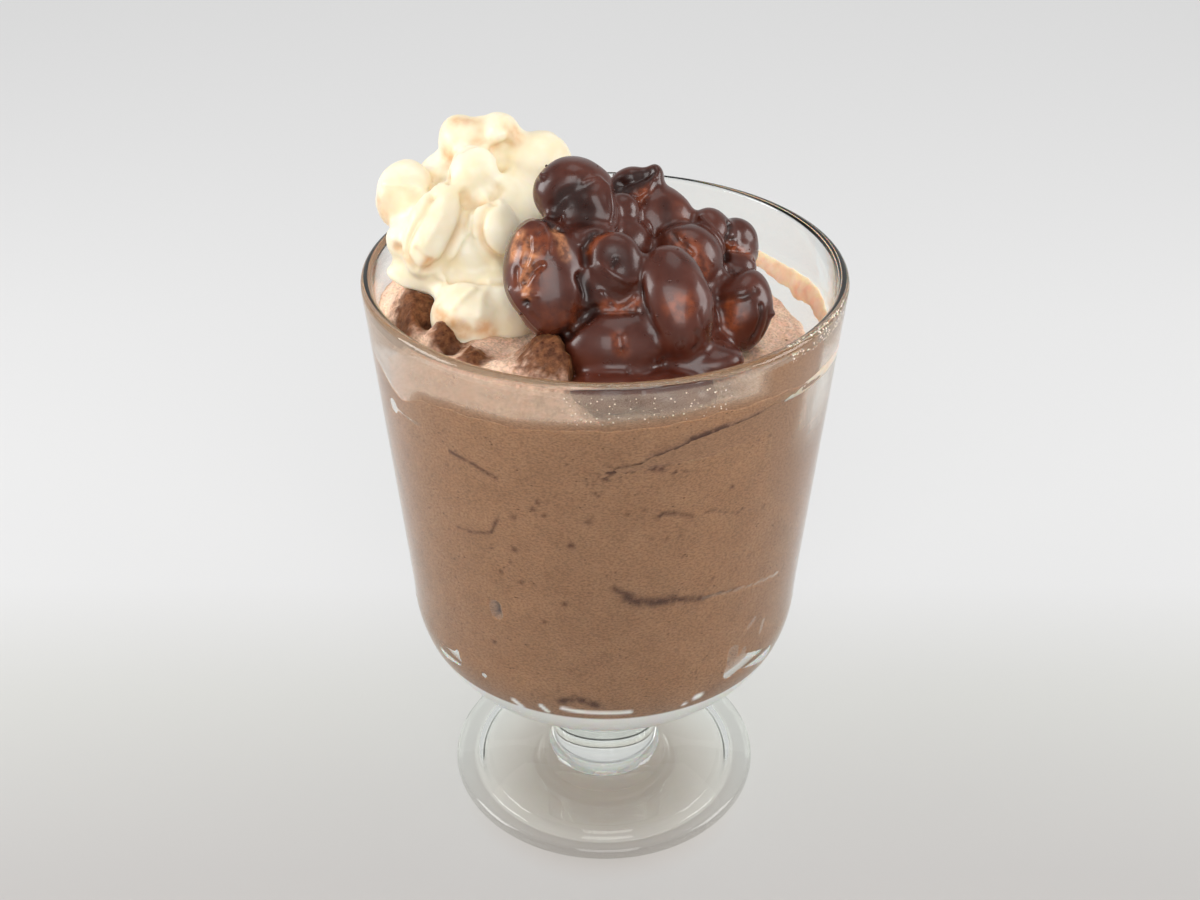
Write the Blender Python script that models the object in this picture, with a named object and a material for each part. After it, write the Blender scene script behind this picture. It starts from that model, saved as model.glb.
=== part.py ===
"""Chocolate mousse in a short-footed dessert glass, with one white and one dark chocolate nut cluster on top.

Metres, +Z up. The origin is the middle of the foot's underside, where the glass stands.
"""
import math

import bmesh
import bpy
from mathutils import Euler, Matrix, Vector
from mathutils.bvhtree import BVHTree

MM = 0.001
GAP = 0.3 * MM  # between solids that touch in the real dessert

# The glass: a tapered bowl with a round bottom, on a short thick stem and a flat foot
HEIGHT = 116 * MM
RIM_RADIUS = 43 * MM
SHOULDER_RADIUS = 37.7 * MM  # where the straight wall turns into the round bottom
SHOULDER_HEIGHT = 51.6 * MM
BOWL_DEPTH = 25.6 * MM  # of the round bottom, outside
LIP_RADIUS = 1.0 * MM
WALL = 2.5 * MM  # at the shoulder; the rim is two lip radii thick
BASE_WALL = 4.5 * MM  # under the mousse
BOWL_BULGE = (2 / 2.65, 2 / 2.345)  # powers that make the bottom fuller than an ellipse
STEM_WAIST = 10.5 * MM
STEM_FLARE = 2.2 * MM
FOOT_RADIUS = 31.5 * MM
FOOT_EDGE = 1.5 * MM  # radius of its rounded edge
FOOT_CENTRE_HEIGHT = 4.6 * MM
CONTACT_RING = (27.5 * MM, 30.0 * MM)
RECESS = 1.5 * MM
GLASS_SIDES = 48

# The mousse: fills the bowl, and its top slopes down to the right
MOUSSE_SIDES = 64
TOP_LEVEL = 107 * MM
TOP_SLOPE = -0.105
TOP_RINGS = 14
BOTTOM_ANGLES = (80, 68, 55, 42, 28, 14)
SIDE_STEPS = (0.0, 0.5, 0.7, 0.83, 0.93, 1.0)
EDGE_BLEND = 6 * MM
SEAT_GAP = 0.5 * MM  # under the clusters, which rest in hollows of their own shape
SEAT_REACH = 1.8 * MM  # how far each hollow runs past its nut
# Height of the mousse at the wall, by the compass angle in degrees from +X
WALL_LINE = ((-180, 109), (-160, 105), (-147, 101.5), (-119, 105.4), (-100, 107), (-55, 106.6), (-30, 103.5),
             (0, 103), (40, 102.5), (75, 103), (120, 105), (160, 108))
# Lumps and peaks of the top: centre, radius, height above the slope
LUMPS = (
    ((-34, -5), 5.5, 3.4),
    ((-35, -14), 4.0, 1.6),
    ((-28, -17), 3.6, 1.8),
    ((-17, -24), 6.0, 1.2),
    ((-8.5, -24), 5.4, 5.8),
    ((30, -3), 8.0, 0.8),
)
# The stretch where the mousse stands off the wall: middle and half width in degrees, depth, and from what height
SIDE_GAP = (17, 66, 4.6 * MM, 88 * MM, 101 * MM)

# The band of mousse left on the wall above that stretch
SMEAR_FROM, SMEAR_TO = -38, 70
SMEAR_HEIGHTS = (103.6 * MM, 107.0 * MM)
SMEAR_DEPTH = 1.5 * MM
SMEAR_STEPS = 30
SMEAR_DRIPS = ((22, 5, 1.6), (32, 4, 1.0), (-12, 6, 0.8))  # angle, half width, how far each hangs

# The clusters: each nut's centre, half sizes and turn about X, Y and Z in degrees. All in mm.
WHITE_NUTS = (
    ((-25.7, 14, 133.7), (3.9, 4.8, 4.6), (-20, 0, 0)),  # the long nut on top, narrower in its middle
    ((-22.2, 14, 134.6), (3.2, 4.0, 3.4), (-20, 0, 0)),
    ((-18.9, 14, 135.2), (4.0, 4.6, 3.4), (-20, -5, 0)),
    ((-35.1, 6, 126.6), (5.3, 5.0, 6.3), (-20, 10, 0)),  # left
    ((-22.9, 5, 131.0), (4.5, 4.6, 5.0), (-20, 10, 0)),  # middle
    ((-29.4, -3, 124.1), (4.8, 4.8, 8.4), (-32, 27, 0)),  # the leaning almond
    ((-35.5, -1, 121.0), (2.7, 3.2, 3.4), (0, 0, 0)),
    ((-18.9, -3, 124.2), (3.9, 4.2, 5.8), (-25, -8, 0)),
    ((-12.2, 13, 128.4), (6.6, 6.5, 7.2), (0, 20, 0)),  # the smooth shoulder on the right
    ((-23.6, -10, 110.8), (6.8, 6.0, 6.4), (-20, 20, 0)),  # low at the front
    ((-18.0, -8, 111.0), (6.2, 5.6, 7.0), (-20, -10, 0)),
    ((-28.4, -2, 115.2), (9.6, 4.6, 4.0), (0, 8, 0)),  # chocolate between the nuts
    ((-24.0, 0, 119.0), (9.0, 6.0, 6.5), (-20, 10, 0)),
    ((-20.5, 6, 124.0), (8.6, 7.4, 7.6), (0, 0, 0)),
    ((-14.5, 5, 121.5), (6.0, 6.5, 7.5), (0, 0, 0)),
    ((-25.5, 14, 124.5), (9.0, 7.6, 8.0), (0, 0, 0)),  # the back of the cluster
    ((-15.0, 13, 119.0), (9.0, 7.0, 9.0), (0, 0, 0)),
    ((-25.0, 5, 115.5), (11.0, 10.0, 5.5), (0, 8, 0)),
)
DARK_NUTS = (
    ((-5.6, -7, 132.6), (6.8, 6.2, 6.5), (-20, -10, 0)),  # top left, in two halves
    ((-2.2, -10.5, 131.2), (4.0, 4.6, 5.8), (-20, -30, 0)),
    ((-9.7, -19, 122.7), (7.0, 6.2, 10.3), (-32, -12, 0)),  # the big almond at the front left
    ((1.2, -19, 124.0), (4.5, 4.2, 7.2), (-32, -15, 0)),  # its neighbour
    ((5.0, 3, 128.9), (4.8, 3.8, 3.8), (0, -20, 0)),  # top, curled
    ((7.8, 3, 130.8), (2.1, 2.6, 2.6), (0, 0, 0)),
    ((9.6, 0, 124.6), (4.9, 4.6, 5.0), (0, -10, 0)),
    ((13.6, -9, 120.4), (5.6, 5.0, 6.2), (-20, -15, 0)),
    ((11.9, -22, 119.1), (5.6, 5.6, 9.4), (-32, -18, 0)),  # the big nut at the front right
    ((18.5, -1, 122.4), (3.1, 3.4, 4.2), (0, -15, 0)),  # the creased nut at the right
    ((23.3, 2, 119.7), (3.1, 3.4, 4.4), (0, -20, 0)),
    ((21.5, -3, 117.4), (4.3, 4.0, 3.8), (0, -10, 0)),
    ((23.4, -13, 113.7), (5.2, 5.2, 7.2), (-20, 12, 0)),  # far right
    ((1.0, -26.5, 112.8), (7.6, 5.0, 5.6), (-30, 0, 0)),  # low at the front
    ((16.0, -25, 110.8), (7.0, 4.4, 3.0), (0, 0, 0)),
    ((3.2, -9, 125.0), (7.0, 6.0, 6.6), (0, 0, 0)),  # chocolate between the nuts
    ((7.0, -18, 114.5), (11.5, 8.0, 8.4), (-20, 10, 0)),
    ((12.0, -8, 114.0), (12.0, 9.0, 7.5), (0, 10, 0)),
    ((8.0, -17, 109.4), (14.0, 10.5, 4.4), (0, 0, 0)),
    ((14.0, -1, 114.6), (10.0, 6.5, 7.0), (0, 8, 0)),  # the back of the cluster
)
COATING = 0.15 * MM  # chocolate over the nuts
CLUSTER_VOXEL = 1.0 * MM
CLUSTER_TRIANGLES = 1500


# ---- helpers ----
def material(name, colour, roughness):
    """A Principled material of one colour."""
    made = bpy.data.materials.new(name)
    made.use_nodes = True
    shader = made.node_tree.nodes["Principled BSDF"]
    shader.inputs["Base Color"].default_value = (*colour, 1.0)
    shader.inputs["Roughness"].default_value = roughness
    shader.inputs["Metallic"].default_value = 0.0
    return made


def add_object(name, mesh, surface):
    """An object called name that shows mesh in the material surface."""
    made = bpy.data.objects.new(name, mesh)
    bpy.context.scene.collection.objects.link(made)
    mesh.materials.append(surface)
    mesh.shade_smooth()
    mesh.set_sharp_from_angle(angle=math.radians(40))
    return made


def mesh_from(name, points, faces):
    """A mesh from a list of points and a list of faces, with its faces pointing out."""
    bm = bmesh.new()
    corners = [bm.verts.new(point) for point in points]
    for face in faces:
        bm.faces.new([corners[i] for i in face])
    bmesh.ops.recalc_face_normals(bm, faces=bm.faces)
    made = bpy.data.meshes.new(name)
    bm.to_mesh(made)
    bm.free()
    return made


def lathe(name, outline, sides):
    """The solid turned from an outline of (radius, height) points, which starts and ends on the axis."""
    points = []
    for radius, height in outline[1:-1]:
        for k in range(sides):
            angle = math.tau * k / sides
            points.append((radius * math.cos(angle), radius * math.sin(angle), height))
    first, last = len(points), len(points) + 1
    points += [(0, 0, outline[0][1]), (0, 0, outline[-1][1])]
    return mesh_from(name, points, tube_faces(len(outline) - 2, sides, first, last))


def tube_faces(rings, sides, first, last):
    """Faces that join rings of points one after the other, and fan out from a pole at each end."""
    faces = []
    for k in range(sides):
        after = (k + 1) % sides
        faces.append((first, k, after))
        for ring in range(rings - 1):
            here, there = ring * sides, (ring + 1) * sides
            faces.append((here + k, there + k, there + after, here + after))
        end = (rings - 1) * sides
        faces.append((last, end + after, end + k))
    return faces


def ease(x):
    """0 below 0, 1 above 1, and smooth between."""
    x = min(max(x, 0.0), 1.0)
    return x * x * (3 - 2 * x)


def along(start, end, count):
    """count + 1 evenly spaced numbers from start to end."""
    return [start + (end - start) * i / count for i in range(count + 1)]


# ---- glass ----
def bowl_curve(radius, depth, angle):
    """A point of the round bottom, from the shoulder at 0 degrees to the axis at 90."""
    across = max(math.cos(math.radians(angle)), 0.0) ** BOWL_BULGE[0]
    down = math.sin(math.radians(angle)) ** BOWL_BULGE[1]
    return radius * across, SHOULDER_HEIGHT - depth * down


def inner_radius(height):
    """Radius of the glass's inner wall above the shoulder."""
    share = (height - SHOULDER_HEIGHT) / (HEIGHT - SHOULDER_HEIGHT)
    low = SHOULDER_RADIUS - WALL
    return low + share * (RIM_RADIUS - 2 * LIP_RADIUS - low)


def stem_radius(height, low, high):
    """The stem is narrowest halfway up and flares quickly at both ends."""
    s = (2 * height - low - high) / (high - low)
    return STEM_WAIST + STEM_FLARE * abs(s) ** 5


def glass_outline():
    """Half of the glass's section, from the middle of its inside over the rim to the middle of its underside."""
    points = [bowl_curve(SHOULDER_RADIUS - WALL, BOWL_DEPTH - BASE_WALL, a)
              for a in (90, 80, 69, 58, 47, 36, 25, 12, 0)]
    lip_middle = RIM_RADIUS - LIP_RADIUS
    for angle in along(180, 0, 4):
        turn = math.radians(angle)
        points.append((lip_middle + LIP_RADIUS * math.cos(turn), HEIGHT - LIP_RADIUS + LIP_RADIUS * math.sin(turn)))
    outside = [bowl_curve(SHOULDER_RADIUS, BOWL_DEPTH, a) for a in (0, 12, 25, 36, 47, 58, 68, 76)]
    points += outside
    low, high = FOOT_CENTRE_HEIGHT, outside[-1][1]
    points += [(stem_radius(z, low, high), z) for z in along(high, low, 7)[1:]]
    edge_middle = FOOT_RADIUS - FOOT_EDGE
    for angle in along(90, -90, 4):
        turn = math.radians(angle)
        points.append((edge_middle + FOOT_EDGE * math.cos(turn), FOOT_EDGE + FOOT_EDGE * math.sin(turn)))
    inside_ring = CONTACT_RING[0]
    points += [(inside_ring, 0.0), (inside_ring - RECESS, RECESS * 0.6), (inside_ring * 0.5, RECESS), (0.0, RECESS)]
    return points


def build_glass():
    mesh = lathe("glass", glass_outline(), GLASS_SIDES)
    return add_object("glass", mesh, material("clear_glass", (0.86, 0.9, 0.89), 0.03))


# ---- clusters ----
def build_cluster(name, nuts, surface):
    """Nuts held in chocolate: overlapping rounds, made one skin and smoothed like a coating."""
    bm = bmesh.new()
    for centre, half, turn in nuts:
        place = (Matrix.Translation(Vector(centre) * MM)
                 @ Euler([math.radians(t) for t in turn]).to_matrix().to_4x4()
                 @ Matrix.Diagonal((*[h * MM + COATING for h in half], 1.0)))
        bmesh.ops.create_icosphere(bm, subdivisions=3, radius=1.0, matrix=place)
    mesh = bpy.data.meshes.new(name)
    bm.to_mesh(mesh)
    bm.free()
    cluster = add_object(name, mesh, surface)
    skin = cluster.modifiers.new("one_skin", "REMESH")
    skin.mode = "VOXEL"
    skin.voxel_size = CLUSTER_VOXEL
    coating = cluster.modifiers.new("coating", "SMOOTH")
    coating.factor = 0.5
    coating.iterations = 3
    whole = evaluated(cluster)
    thin = cluster.modifiers.new("fewer_faces", "DECIMATE")
    thin.ratio = CLUSTER_TRIANGLES / sum(len(face.vertices) - 2 for face in whole.polygons)
    cluster.modifiers.new("triangles", "TRIANGULATE")
    bpy.data.meshes.remove(whole)
    return cluster


def evaluated(piece):
    """A copy of the object's mesh with its modifiers in effect."""
    graph = bpy.context.evaluated_depsgraph_get()
    return bpy.data.meshes.new_from_object(piece.evaluated_get(graph))


# ---- mousse ----
def at_angle(table, angle):
    """The value of a round table of (degrees, value) at an angle, eased from one entry to the next."""
    wrapped = [*table, (table[0][0] + 360, table[0][1])]
    angle = (angle + 180) % 360 - 180
    for (a, low), (b, high) in zip(wrapped, wrapped[1:]):
        if a <= angle <= b:
            return low + (high - low) * ease((angle - a) / (b - a))
    return table[0][1]


def side_radius(angle, height):
    """Radius of the mousse's side: on the wall, except where it stands off."""
    middle, half_width, depth, start, end = SIDE_GAP
    off = abs((angle - middle + 180) % 360 - 180) / half_width
    inset = depth * ease(3 * (1 - off)) * ease((height - start) / (end - start))
    return inner_radius(height) - GAP - inset


def top_height(x, y):
    """Height of the open top, away from the wall."""
    height = TOP_LEVEL + TOP_SLOPE * x
    for (cx, cy), radius, rise in LUMPS:
        away = math.hypot(x / MM - cx, y / MM - cy) / radius
        height += rise * MM * math.exp(-(away ** 2.4))
    return height


def lowest_above(trees, x, y, reach):
    """The lowest height of the clusters over a small round patch, or None."""
    lowest = None
    for k in range(17):
        distance = reach * (0, 0.5, 1.0)[(k + 7) // 8]
        angle = math.tau * k / 8
        start = Vector((x + distance * math.cos(angle), y + distance * math.sin(angle), 0.09))
        for tree in trees:
            hit = tree.ray_cast(start, Vector((0, 0, 1)))[0]
            if hit is not None and (lowest is None or hit.z < lowest):
                lowest = hit.z
    return lowest


def build_mousse(clusters):
    """The mousse as rings of points: round bottom, side, then the top in to its middle."""
    trees = []
    for cluster in clusters:
        skin = evaluated(cluster)
        trees.append(BVHTree.FromPolygons([v.co for v in skin.vertices], [p.vertices for p in skin.polygons]))
        bpy.data.meshes.remove(skin)

    def settle(x, y, height):
        above = lowest_above(trees, x, y, SEAT_REACH)
        return height if above is None else min(height, above - SEAT_GAP)

    angles = [360 * k / MOUSSE_SIDES - 180 for k in range(MOUSSE_SIDES)]
    rings = []
    for a in BOTTOM_ANGLES:
        radius, height = bowl_curve(SHOULDER_RADIUS - WALL - GAP, BOWL_DEPTH - BASE_WALL - GAP, a)
        rings.append([(radius, height)] * MOUSSE_SIDES)
    edge_heights = [at_angle(WALL_LINE, angle) * MM for angle in angles]
    for step in SIDE_STEPS:
        ring = []
        for angle, edge in zip(angles, edge_heights):
            height = SHOULDER_HEIGHT + step * (edge - SHOULDER_HEIGHT)
            ring.append((side_radius(angle, height), height))
        rings.append(ring)
    top_edge = rings[-1]
    for share in along(1.0, 0.0, TOP_RINGS)[1:-1]:
        ring = []
        for angle, (edge_radius, edge_height) in zip(angles, top_edge):
            radius = edge_radius * share
            x, y = radius * math.cos(math.radians(angle)), radius * math.sin(math.radians(angle))
            inward = ease((edge_radius - radius) / EDGE_BLEND)
            height = edge_height + inward * (top_height(x, y) - edge_height)
            ring.append((radius, settle(x, y, height)))
        rings.append(ring)
    points = []
    for ring in rings:
        for angle, (radius, height) in zip(angles, ring):
            turn = math.radians(angle)
            points.append((radius * math.cos(turn), radius * math.sin(turn), height))
    first, last = len(points), len(points) + 1
    bottom = bowl_curve(SHOULDER_RADIUS - WALL - GAP, BOWL_DEPTH - BASE_WALL - GAP, 90)[1]
    points += [(0, 0, bottom), (0, 0, settle(0, 0, top_height(0, 0)))]
    mesh = mesh_from("mousse", points, tube_faces(len(rings), MOUSSE_SIDES, first, last))
    return add_object("mousse", mesh, material("chocolate_mousse", (0.42, 0.26, 0.19), 0.6))


def build_smear():
    """A thin band of mousse on the inner wall, with a lumpy lower edge."""
    points = []
    for angle in along(SMEAR_FROM, SMEAR_TO, SMEAR_STEPS):
        hang = sum(size * MM * math.exp(-(((angle - at) / width) ** 2)) for at, width, size in SMEAR_DRIPS)
        taper = ease(min(angle - SMEAR_FROM, SMEAR_TO - angle) / 8 + 0.25)
        low, high = SMEAR_HEIGHTS[0] - hang, SMEAR_HEIGHTS[1]
        middle = (low + high) / 2
        section = ((high, 0.0), (middle + 0.25 * (high - low), 0.7), (middle - 0.2 * (high - low), 1.0), (low, 0.5),
                   (low + 0.2 * MM, 0.0))
        turn = math.radians(angle)
        for height, depth in section:
            height = middle + taper * (height - middle)
            radius = inner_radius(height) - GAP - depth * taper * SMEAR_DEPTH
            points.append((radius * math.cos(turn), radius * math.sin(turn), height))
    size = 5
    faces = [tuple(range(size)), tuple(range(len(points) - size, len(points)))]
    for i in range(SMEAR_STEPS):
        here, there = i * size, (i + 1) * size
        for k in range(size):
            after = (k + 1) % size
            faces.append((here + k, there + k, there + after, here + after))
    mesh = mesh_from("mousse_smear", points, faces)
    return add_object("mousse_smear", mesh, material("smeared_mousse", (0.75, 0.5, 0.36), 0.6))


def main():
    for old in list(bpy.data.objects):
        bpy.data.objects.remove(old)
    build_glass()
    white = build_cluster("white_cluster", WHITE_NUTS, material("white_chocolate", (0.9, 0.8, 0.58), 0.35))
    dark = build_cluster("dark_cluster", DARK_NUTS, material("dark_chocolate", (0.06, 0.025, 0.018), 0.3))
    build_mousse([white, dark])
    build_smear()


main()
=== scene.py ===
# %% [markdown]
# # Chocolate mousse in a footed glass
#
# A short-footed dessert glass is filled with chocolate mousse. Two nut clusters lie on top: one of white
# and one of dark chocolate. The solid model of all five parts is loaded first as a fixed frame. Everything
# below dresses it.

# %% Load the frame
import math

import bmesh
import bpy
import numpy as np
from mathutils import Euler, Matrix, Vector, noise
from mathutils.bvhtree import BVHTree


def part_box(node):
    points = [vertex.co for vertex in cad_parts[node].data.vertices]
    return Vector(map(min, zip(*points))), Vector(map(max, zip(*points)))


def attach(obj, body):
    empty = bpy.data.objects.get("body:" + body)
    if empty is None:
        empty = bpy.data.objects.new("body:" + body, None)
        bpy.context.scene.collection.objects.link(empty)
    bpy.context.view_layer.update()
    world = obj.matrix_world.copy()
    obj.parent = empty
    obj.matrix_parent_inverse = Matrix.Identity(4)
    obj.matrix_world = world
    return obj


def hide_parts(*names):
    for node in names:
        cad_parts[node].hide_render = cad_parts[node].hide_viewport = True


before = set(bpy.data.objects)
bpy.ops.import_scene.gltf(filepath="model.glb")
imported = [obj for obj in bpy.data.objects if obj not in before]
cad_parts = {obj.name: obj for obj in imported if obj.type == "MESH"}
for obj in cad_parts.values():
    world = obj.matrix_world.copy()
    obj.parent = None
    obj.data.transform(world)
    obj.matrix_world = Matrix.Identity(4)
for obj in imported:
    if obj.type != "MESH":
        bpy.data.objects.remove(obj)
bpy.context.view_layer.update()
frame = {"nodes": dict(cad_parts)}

print("nodes of the frame:", ", ".join(frame["nodes"]))

# %% [markdown]
# ## Sizes
#
# The glass is 116 mm high in the frame. All sizes here are multiples of that, so the dressing would follow
# the frame if the glass were made in another size. `MM` is one millimetre of this glass.

# %% One millimetre of this glass
glass_low, glass_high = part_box("glass")
MM = (glass_high.z - glass_low.z) / 116
RIM_RADIUS = glass_high.x
HEIGHT = glass_high.z
print(f"glass: {HEIGHT * 1000:.1f} mm high, {2 * RIM_RADIUS * 1000:.1f} mm across the rim")

# %% [markdown]
# ## Two helpers for materials
#
# A colour picker shows hex values, but a shader works with linear light, so one function turns the first
# into the second. The other adds a node to any tree, sets it up and links it, all in one call. A node that
# is given as an input hands over the first of its outputs that is in use.

# %% Colours and nodes
def linear(hex_colour):
    """The linear colour, with alpha, of an sRGB hex value such as "C08040"."""
    levels = [int(hex_colour[i:i + 2], 16) / 255 for i in (0, 2, 4)]
    return (*[v / 12.92 if v <= 0.04045 else ((v + 0.055) / 1.055) ** 2.4 for v in levels], 1.0)


def add(tree, kind, inputs=None, stops=(), **settings):
    """Add one node. An input, by name or number, is a value, a socket or a node; stops are a ramp's."""
    node = tree.nodes.new(kind)
    for name, value in settings.items():
        setattr(node, name, value)
    for name, value in (inputs or {}).items():
        by_name = [socket for socket in node.inputs if socket.enabled and socket.name == name]
        socket = by_name[0] if by_name else node.inputs[name]
        if isinstance(value, bpy.types.Node):
            value = next(output for output in value.outputs if output.enabled)
        if isinstance(value, bpy.types.NodeSocket):
            tree.links.new(value, socket)
        else:
            socket.default_value = value
    for number, (place, hex_colour) in enumerate(stops):
        if number == len(node.color_ramp.elements):
            node.color_ramp.elements.new(1.0)
        node.color_ramp.elements[number].position = place
        node.color_ramp.elements[number].color = linear(hex_colour)
    return node


def new_material(name):
    """An empty node material and its tree."""
    made = bpy.data.materials.new(name)
    made.use_nodes = True
    made.node_tree.nodes.clear()
    return made, made.node_tree


print("helpers ready; mid grey is", round(linear("808080")[0], 3), "in linear light")

# %% [markdown]
# ## Camera
#
# The dessert is seen from above the front, looking down by a third of a right angle, with a short telephoto
# lens.

# %% Camera
VIEW_TILT = math.radians(32.38)
VIEW_FROM = Vector((-0.88, -256.6, 239.9)) * MM
camera = bpy.data.objects.new("view_camera", bpy.data.cameras.new("view_camera"))
camera.data.lens = 48
camera.data.sensor_width = 36
camera.data.clip_start = 10 * MM
camera.location = VIEW_FROM
camera.rotation_euler = (math.pi / 2 - VIEW_TILT, 0, 0)
bpy.context.scene.collection.objects.link(camera)
bpy.context.scene.camera = camera
bpy.context.scene.view_settings.view_transform = "Standard"
print("the camera stands", round(VIEW_FROM.length, 3), "m from the foot")

# %% [markdown]
# ## Table and light
#
# The glass stands on a sheet of pale paper that runs up behind it, as in a photographer's studio. Clear
# glass shows only what it bends and mirrors, so the room matters as much as the lamps. Its upright wall
# mirrors the table, which therefore gives some light of its own. Its greys are a painted falloff of the
# light, darker towards the front. Under the bowl the mousse keeps the light away, so the paper's own light
# is dimmed there as a painted shadow, tinted brown as painted light that comes through the mousse.

# %% Table
FLOOR_HALF_WIDTH = 2000 * MM
FLOOR_FRONT, FLOOR_BEND, BEND_RADIUS = -1500 * MM, 1100 * MM, 500 * MM
BEND_STEPS = 16
WALL_RISE = 1500 * MM


def build_table():
    """A sheet that lies flat and curves up at the back."""
    outline = [(FLOOR_FRONT, 0.0), (FLOOR_BEND, 0.0)]
    for k in range(1, BEND_STEPS + 1):
        turn = math.radians(90 * k / BEND_STEPS)
        outline.append((FLOOR_BEND + BEND_RADIUS * math.sin(turn), BEND_RADIUS * (1 - math.cos(turn))))
    outline.append((outline[-1][0], WALL_RISE))
    bm = bmesh.new()
    rows = [[bm.verts.new((x, y, z)) for x in (-FLOOR_HALF_WIDTH, FLOOR_HALF_WIDTH)] for y, z in outline]
    for (a, b), (c, d) in zip(rows, rows[1:]):
        bm.faces.new((a, b, d, c))
    mesh = bpy.data.meshes.new("table")
    bm.to_mesh(mesh)
    bm.free()
    mesh.shade_smooth()
    table = bpy.data.objects.new("table", mesh)
    bpy.context.scene.collection.objects.link(table)
    return table


table = build_table()
print("table:", len(table.data.polygons), "faces")

# %% The paper's greys: a painted falloff of the light, and a painted shadow round the stem
GREYS_FROM, GREYS_TO = -60 * MM, 200 * MM  # from the foreground to far behind the glass
# A painted shadow round the stem: the paper's own light is dimmed and tinted brown there
SHADOW_MIDDLE = (0, -7 * MM, 0)  # the soft shadow of stem and bowl on the paper
SHADOW_CORE, WARM_REACH, LIT_AGAIN = 8 * MM, 30 * MM, 28 * MM  # distances from its middle
paper, tree = new_material("white_backdrop_paper")
place = add(tree, "ShaderNodeTexCoord").outputs["Object"]
depth = add(tree, "ShaderNodeSeparateXYZ", {"Vector": place}).outputs["Y"]
from_front = add(tree, "ShaderNodeMapRange", {"Value": depth, "From Min": GREYS_FROM, "From Max": GREYS_TO})
# Darker towards the front: a painted falloff of the light
painted_falloff = add(tree, "ShaderNodeValToRGB", {"Fac": from_front},
            ((0.0, "AAA7A4"), (0.1, "AFADAB"), (0.3, "BFBFBC"), (0.46, "CBCBCB"), (1.0, "CECECE")))
off_middle = add(tree, "ShaderNodeVectorMath", {0: place, 1: SHADOW_MIDDLE}, operation="DISTANCE")
distance = off_middle.outputs["Value"]
away = add(tree, "ShaderNodeMapRange", {"Value": distance, "From Min": SHADOW_CORE, "From Max": WARM_REACH})
# Painted warm shadow: brown light from the mousse, painted near the stem
painted_warm_shadow = add(tree, "ShaderNodeMix", {"Factor": away, "A": linear("F0DFD3"), "B": linear("FFFFFF")},
             data_type="RGBA")
glow = add(tree, "ShaderNodeMix", {"Factor": 1.0, "A": painted_falloff, "B": painted_warm_shadow},
           data_type="RGBA", blend_type="MULTIPLY")
grey = add(tree, "ShaderNodeMix", {"Factor": 1.0, "A": glow, "B": linear("CECECE")},
           data_type="RGBA", blend_type="MULTIPLY")
print("greys of the paper:", len(tree.nodes), "nodes")

# %% The paper's own light, dimmed round the stem as a painted shadow
# Its own light is dimmed round the stem: a painted shadow
DIMMEST, BRIGHTEST = 0.1, 0.64
own_light = add(tree, "ShaderNodeMapRange", {
    "Value": distance, "From Min": SHADOW_CORE, "From Max": LIT_AGAIN,
    "To Min": DIMMEST, "To Max": BRIGHTEST}, interpolation_type="SMOOTHSTEP")
finish = add(tree, "ShaderNodeBsdfPrincipled", {
    "Base Color": grey, "Roughness": 0.9, "Specular IOR Level": 0.1, "Emission Color": glow,
    "Emission Strength": own_light})
add(tree, "ShaderNodeOutputMaterial", {"Surface": finish})
table.data.materials.append(paper)
print(paper.name)

# %% [markdown]
# ### A light tent
#
# Glossy chocolate needs broad lamps: each one shows on every nut as a soft sheen. So there is one on each
# side, one in front and one high above. The pale walls of the room fill the shadows. Glass shows them as
# they are, but glossy skins mirror them much darker, because the dark gaps of a real studio lie between its
# lamps.

# %% Lamps
def add_lamp(name, place, size, power, target=(0, 0, 90)):
    """A square lamp that faces the target. Place, size and target are in mm, the power is in watts."""
    lamp = bpy.data.objects.new(name, bpy.data.lights.new(name, "AREA"))
    lamp.data.size = size * MM
    lamp.data.energy = power
    lamp.location = Vector(place) * MM
    lamp.rotation_euler = (Vector(target) * MM - lamp.location).to_track_quat("-Z", "Y").to_euler()
    bpy.context.scene.collection.objects.link(lamp)
    return lamp


add_lamp("lamp_above", (150, 200, 1350), 700, 1.7)
add_lamp("lamp_left", (-430, -40, 270), 240, 1.15)
add_lamp("lamp_right", (430, -40, 270), 240, 0.9)
add_lamp("lamp_front", (20, -370, 330), 300, 0.85)
print(len(bpy.data.lights), "lamps")

# %% Room
LIT_BY_WALLS, WALLS_SEEN, WALLS_MIRRORED = 0.62, 0.7, 0.33  # strength of the walls for each kind of ray
world = bpy.data.worlds.new("studio")
world.use_nodes = True
room = world.node_tree
room.nodes.clear()
light, seen, mirrored = [
    add(room, "ShaderNodeBackground", {"Color": linear("FFFFFF"), "Strength": strength})
    for strength in (LIT_BY_WALLS, WALLS_SEEN, WALLS_MIRRORED)]
ray = add(room, "ShaderNodeLightPath").outputs
walls = add(room, "ShaderNodeMixShader", {0: ray["Is Glossy Ray"], 1: seen, 2: mirrored})
studio = add(room, "ShaderNodeMixShader", {0: ray["Is Diffuse Ray"], 1: walls, 2: light})
add(room, "ShaderNodeOutputWorld", {"Surface": studio})
bpy.context.scene.world = world
print("room:", len(room.nodes), "nodes")

# %% [markdown]
# ## The glass
#
# A pressed or blown glass is a turned shape: one outline, spun round the axis. The outline could be drawn
# with the Screw modifier, but a Geometry Nodes tree says it more plainly: a grid whose rows take the
# outline's points and whose columns take the angle. The outline itself is the same as the frame's, only
# with many more points. The rim is round, as it was melted smooth in the fire.

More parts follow.
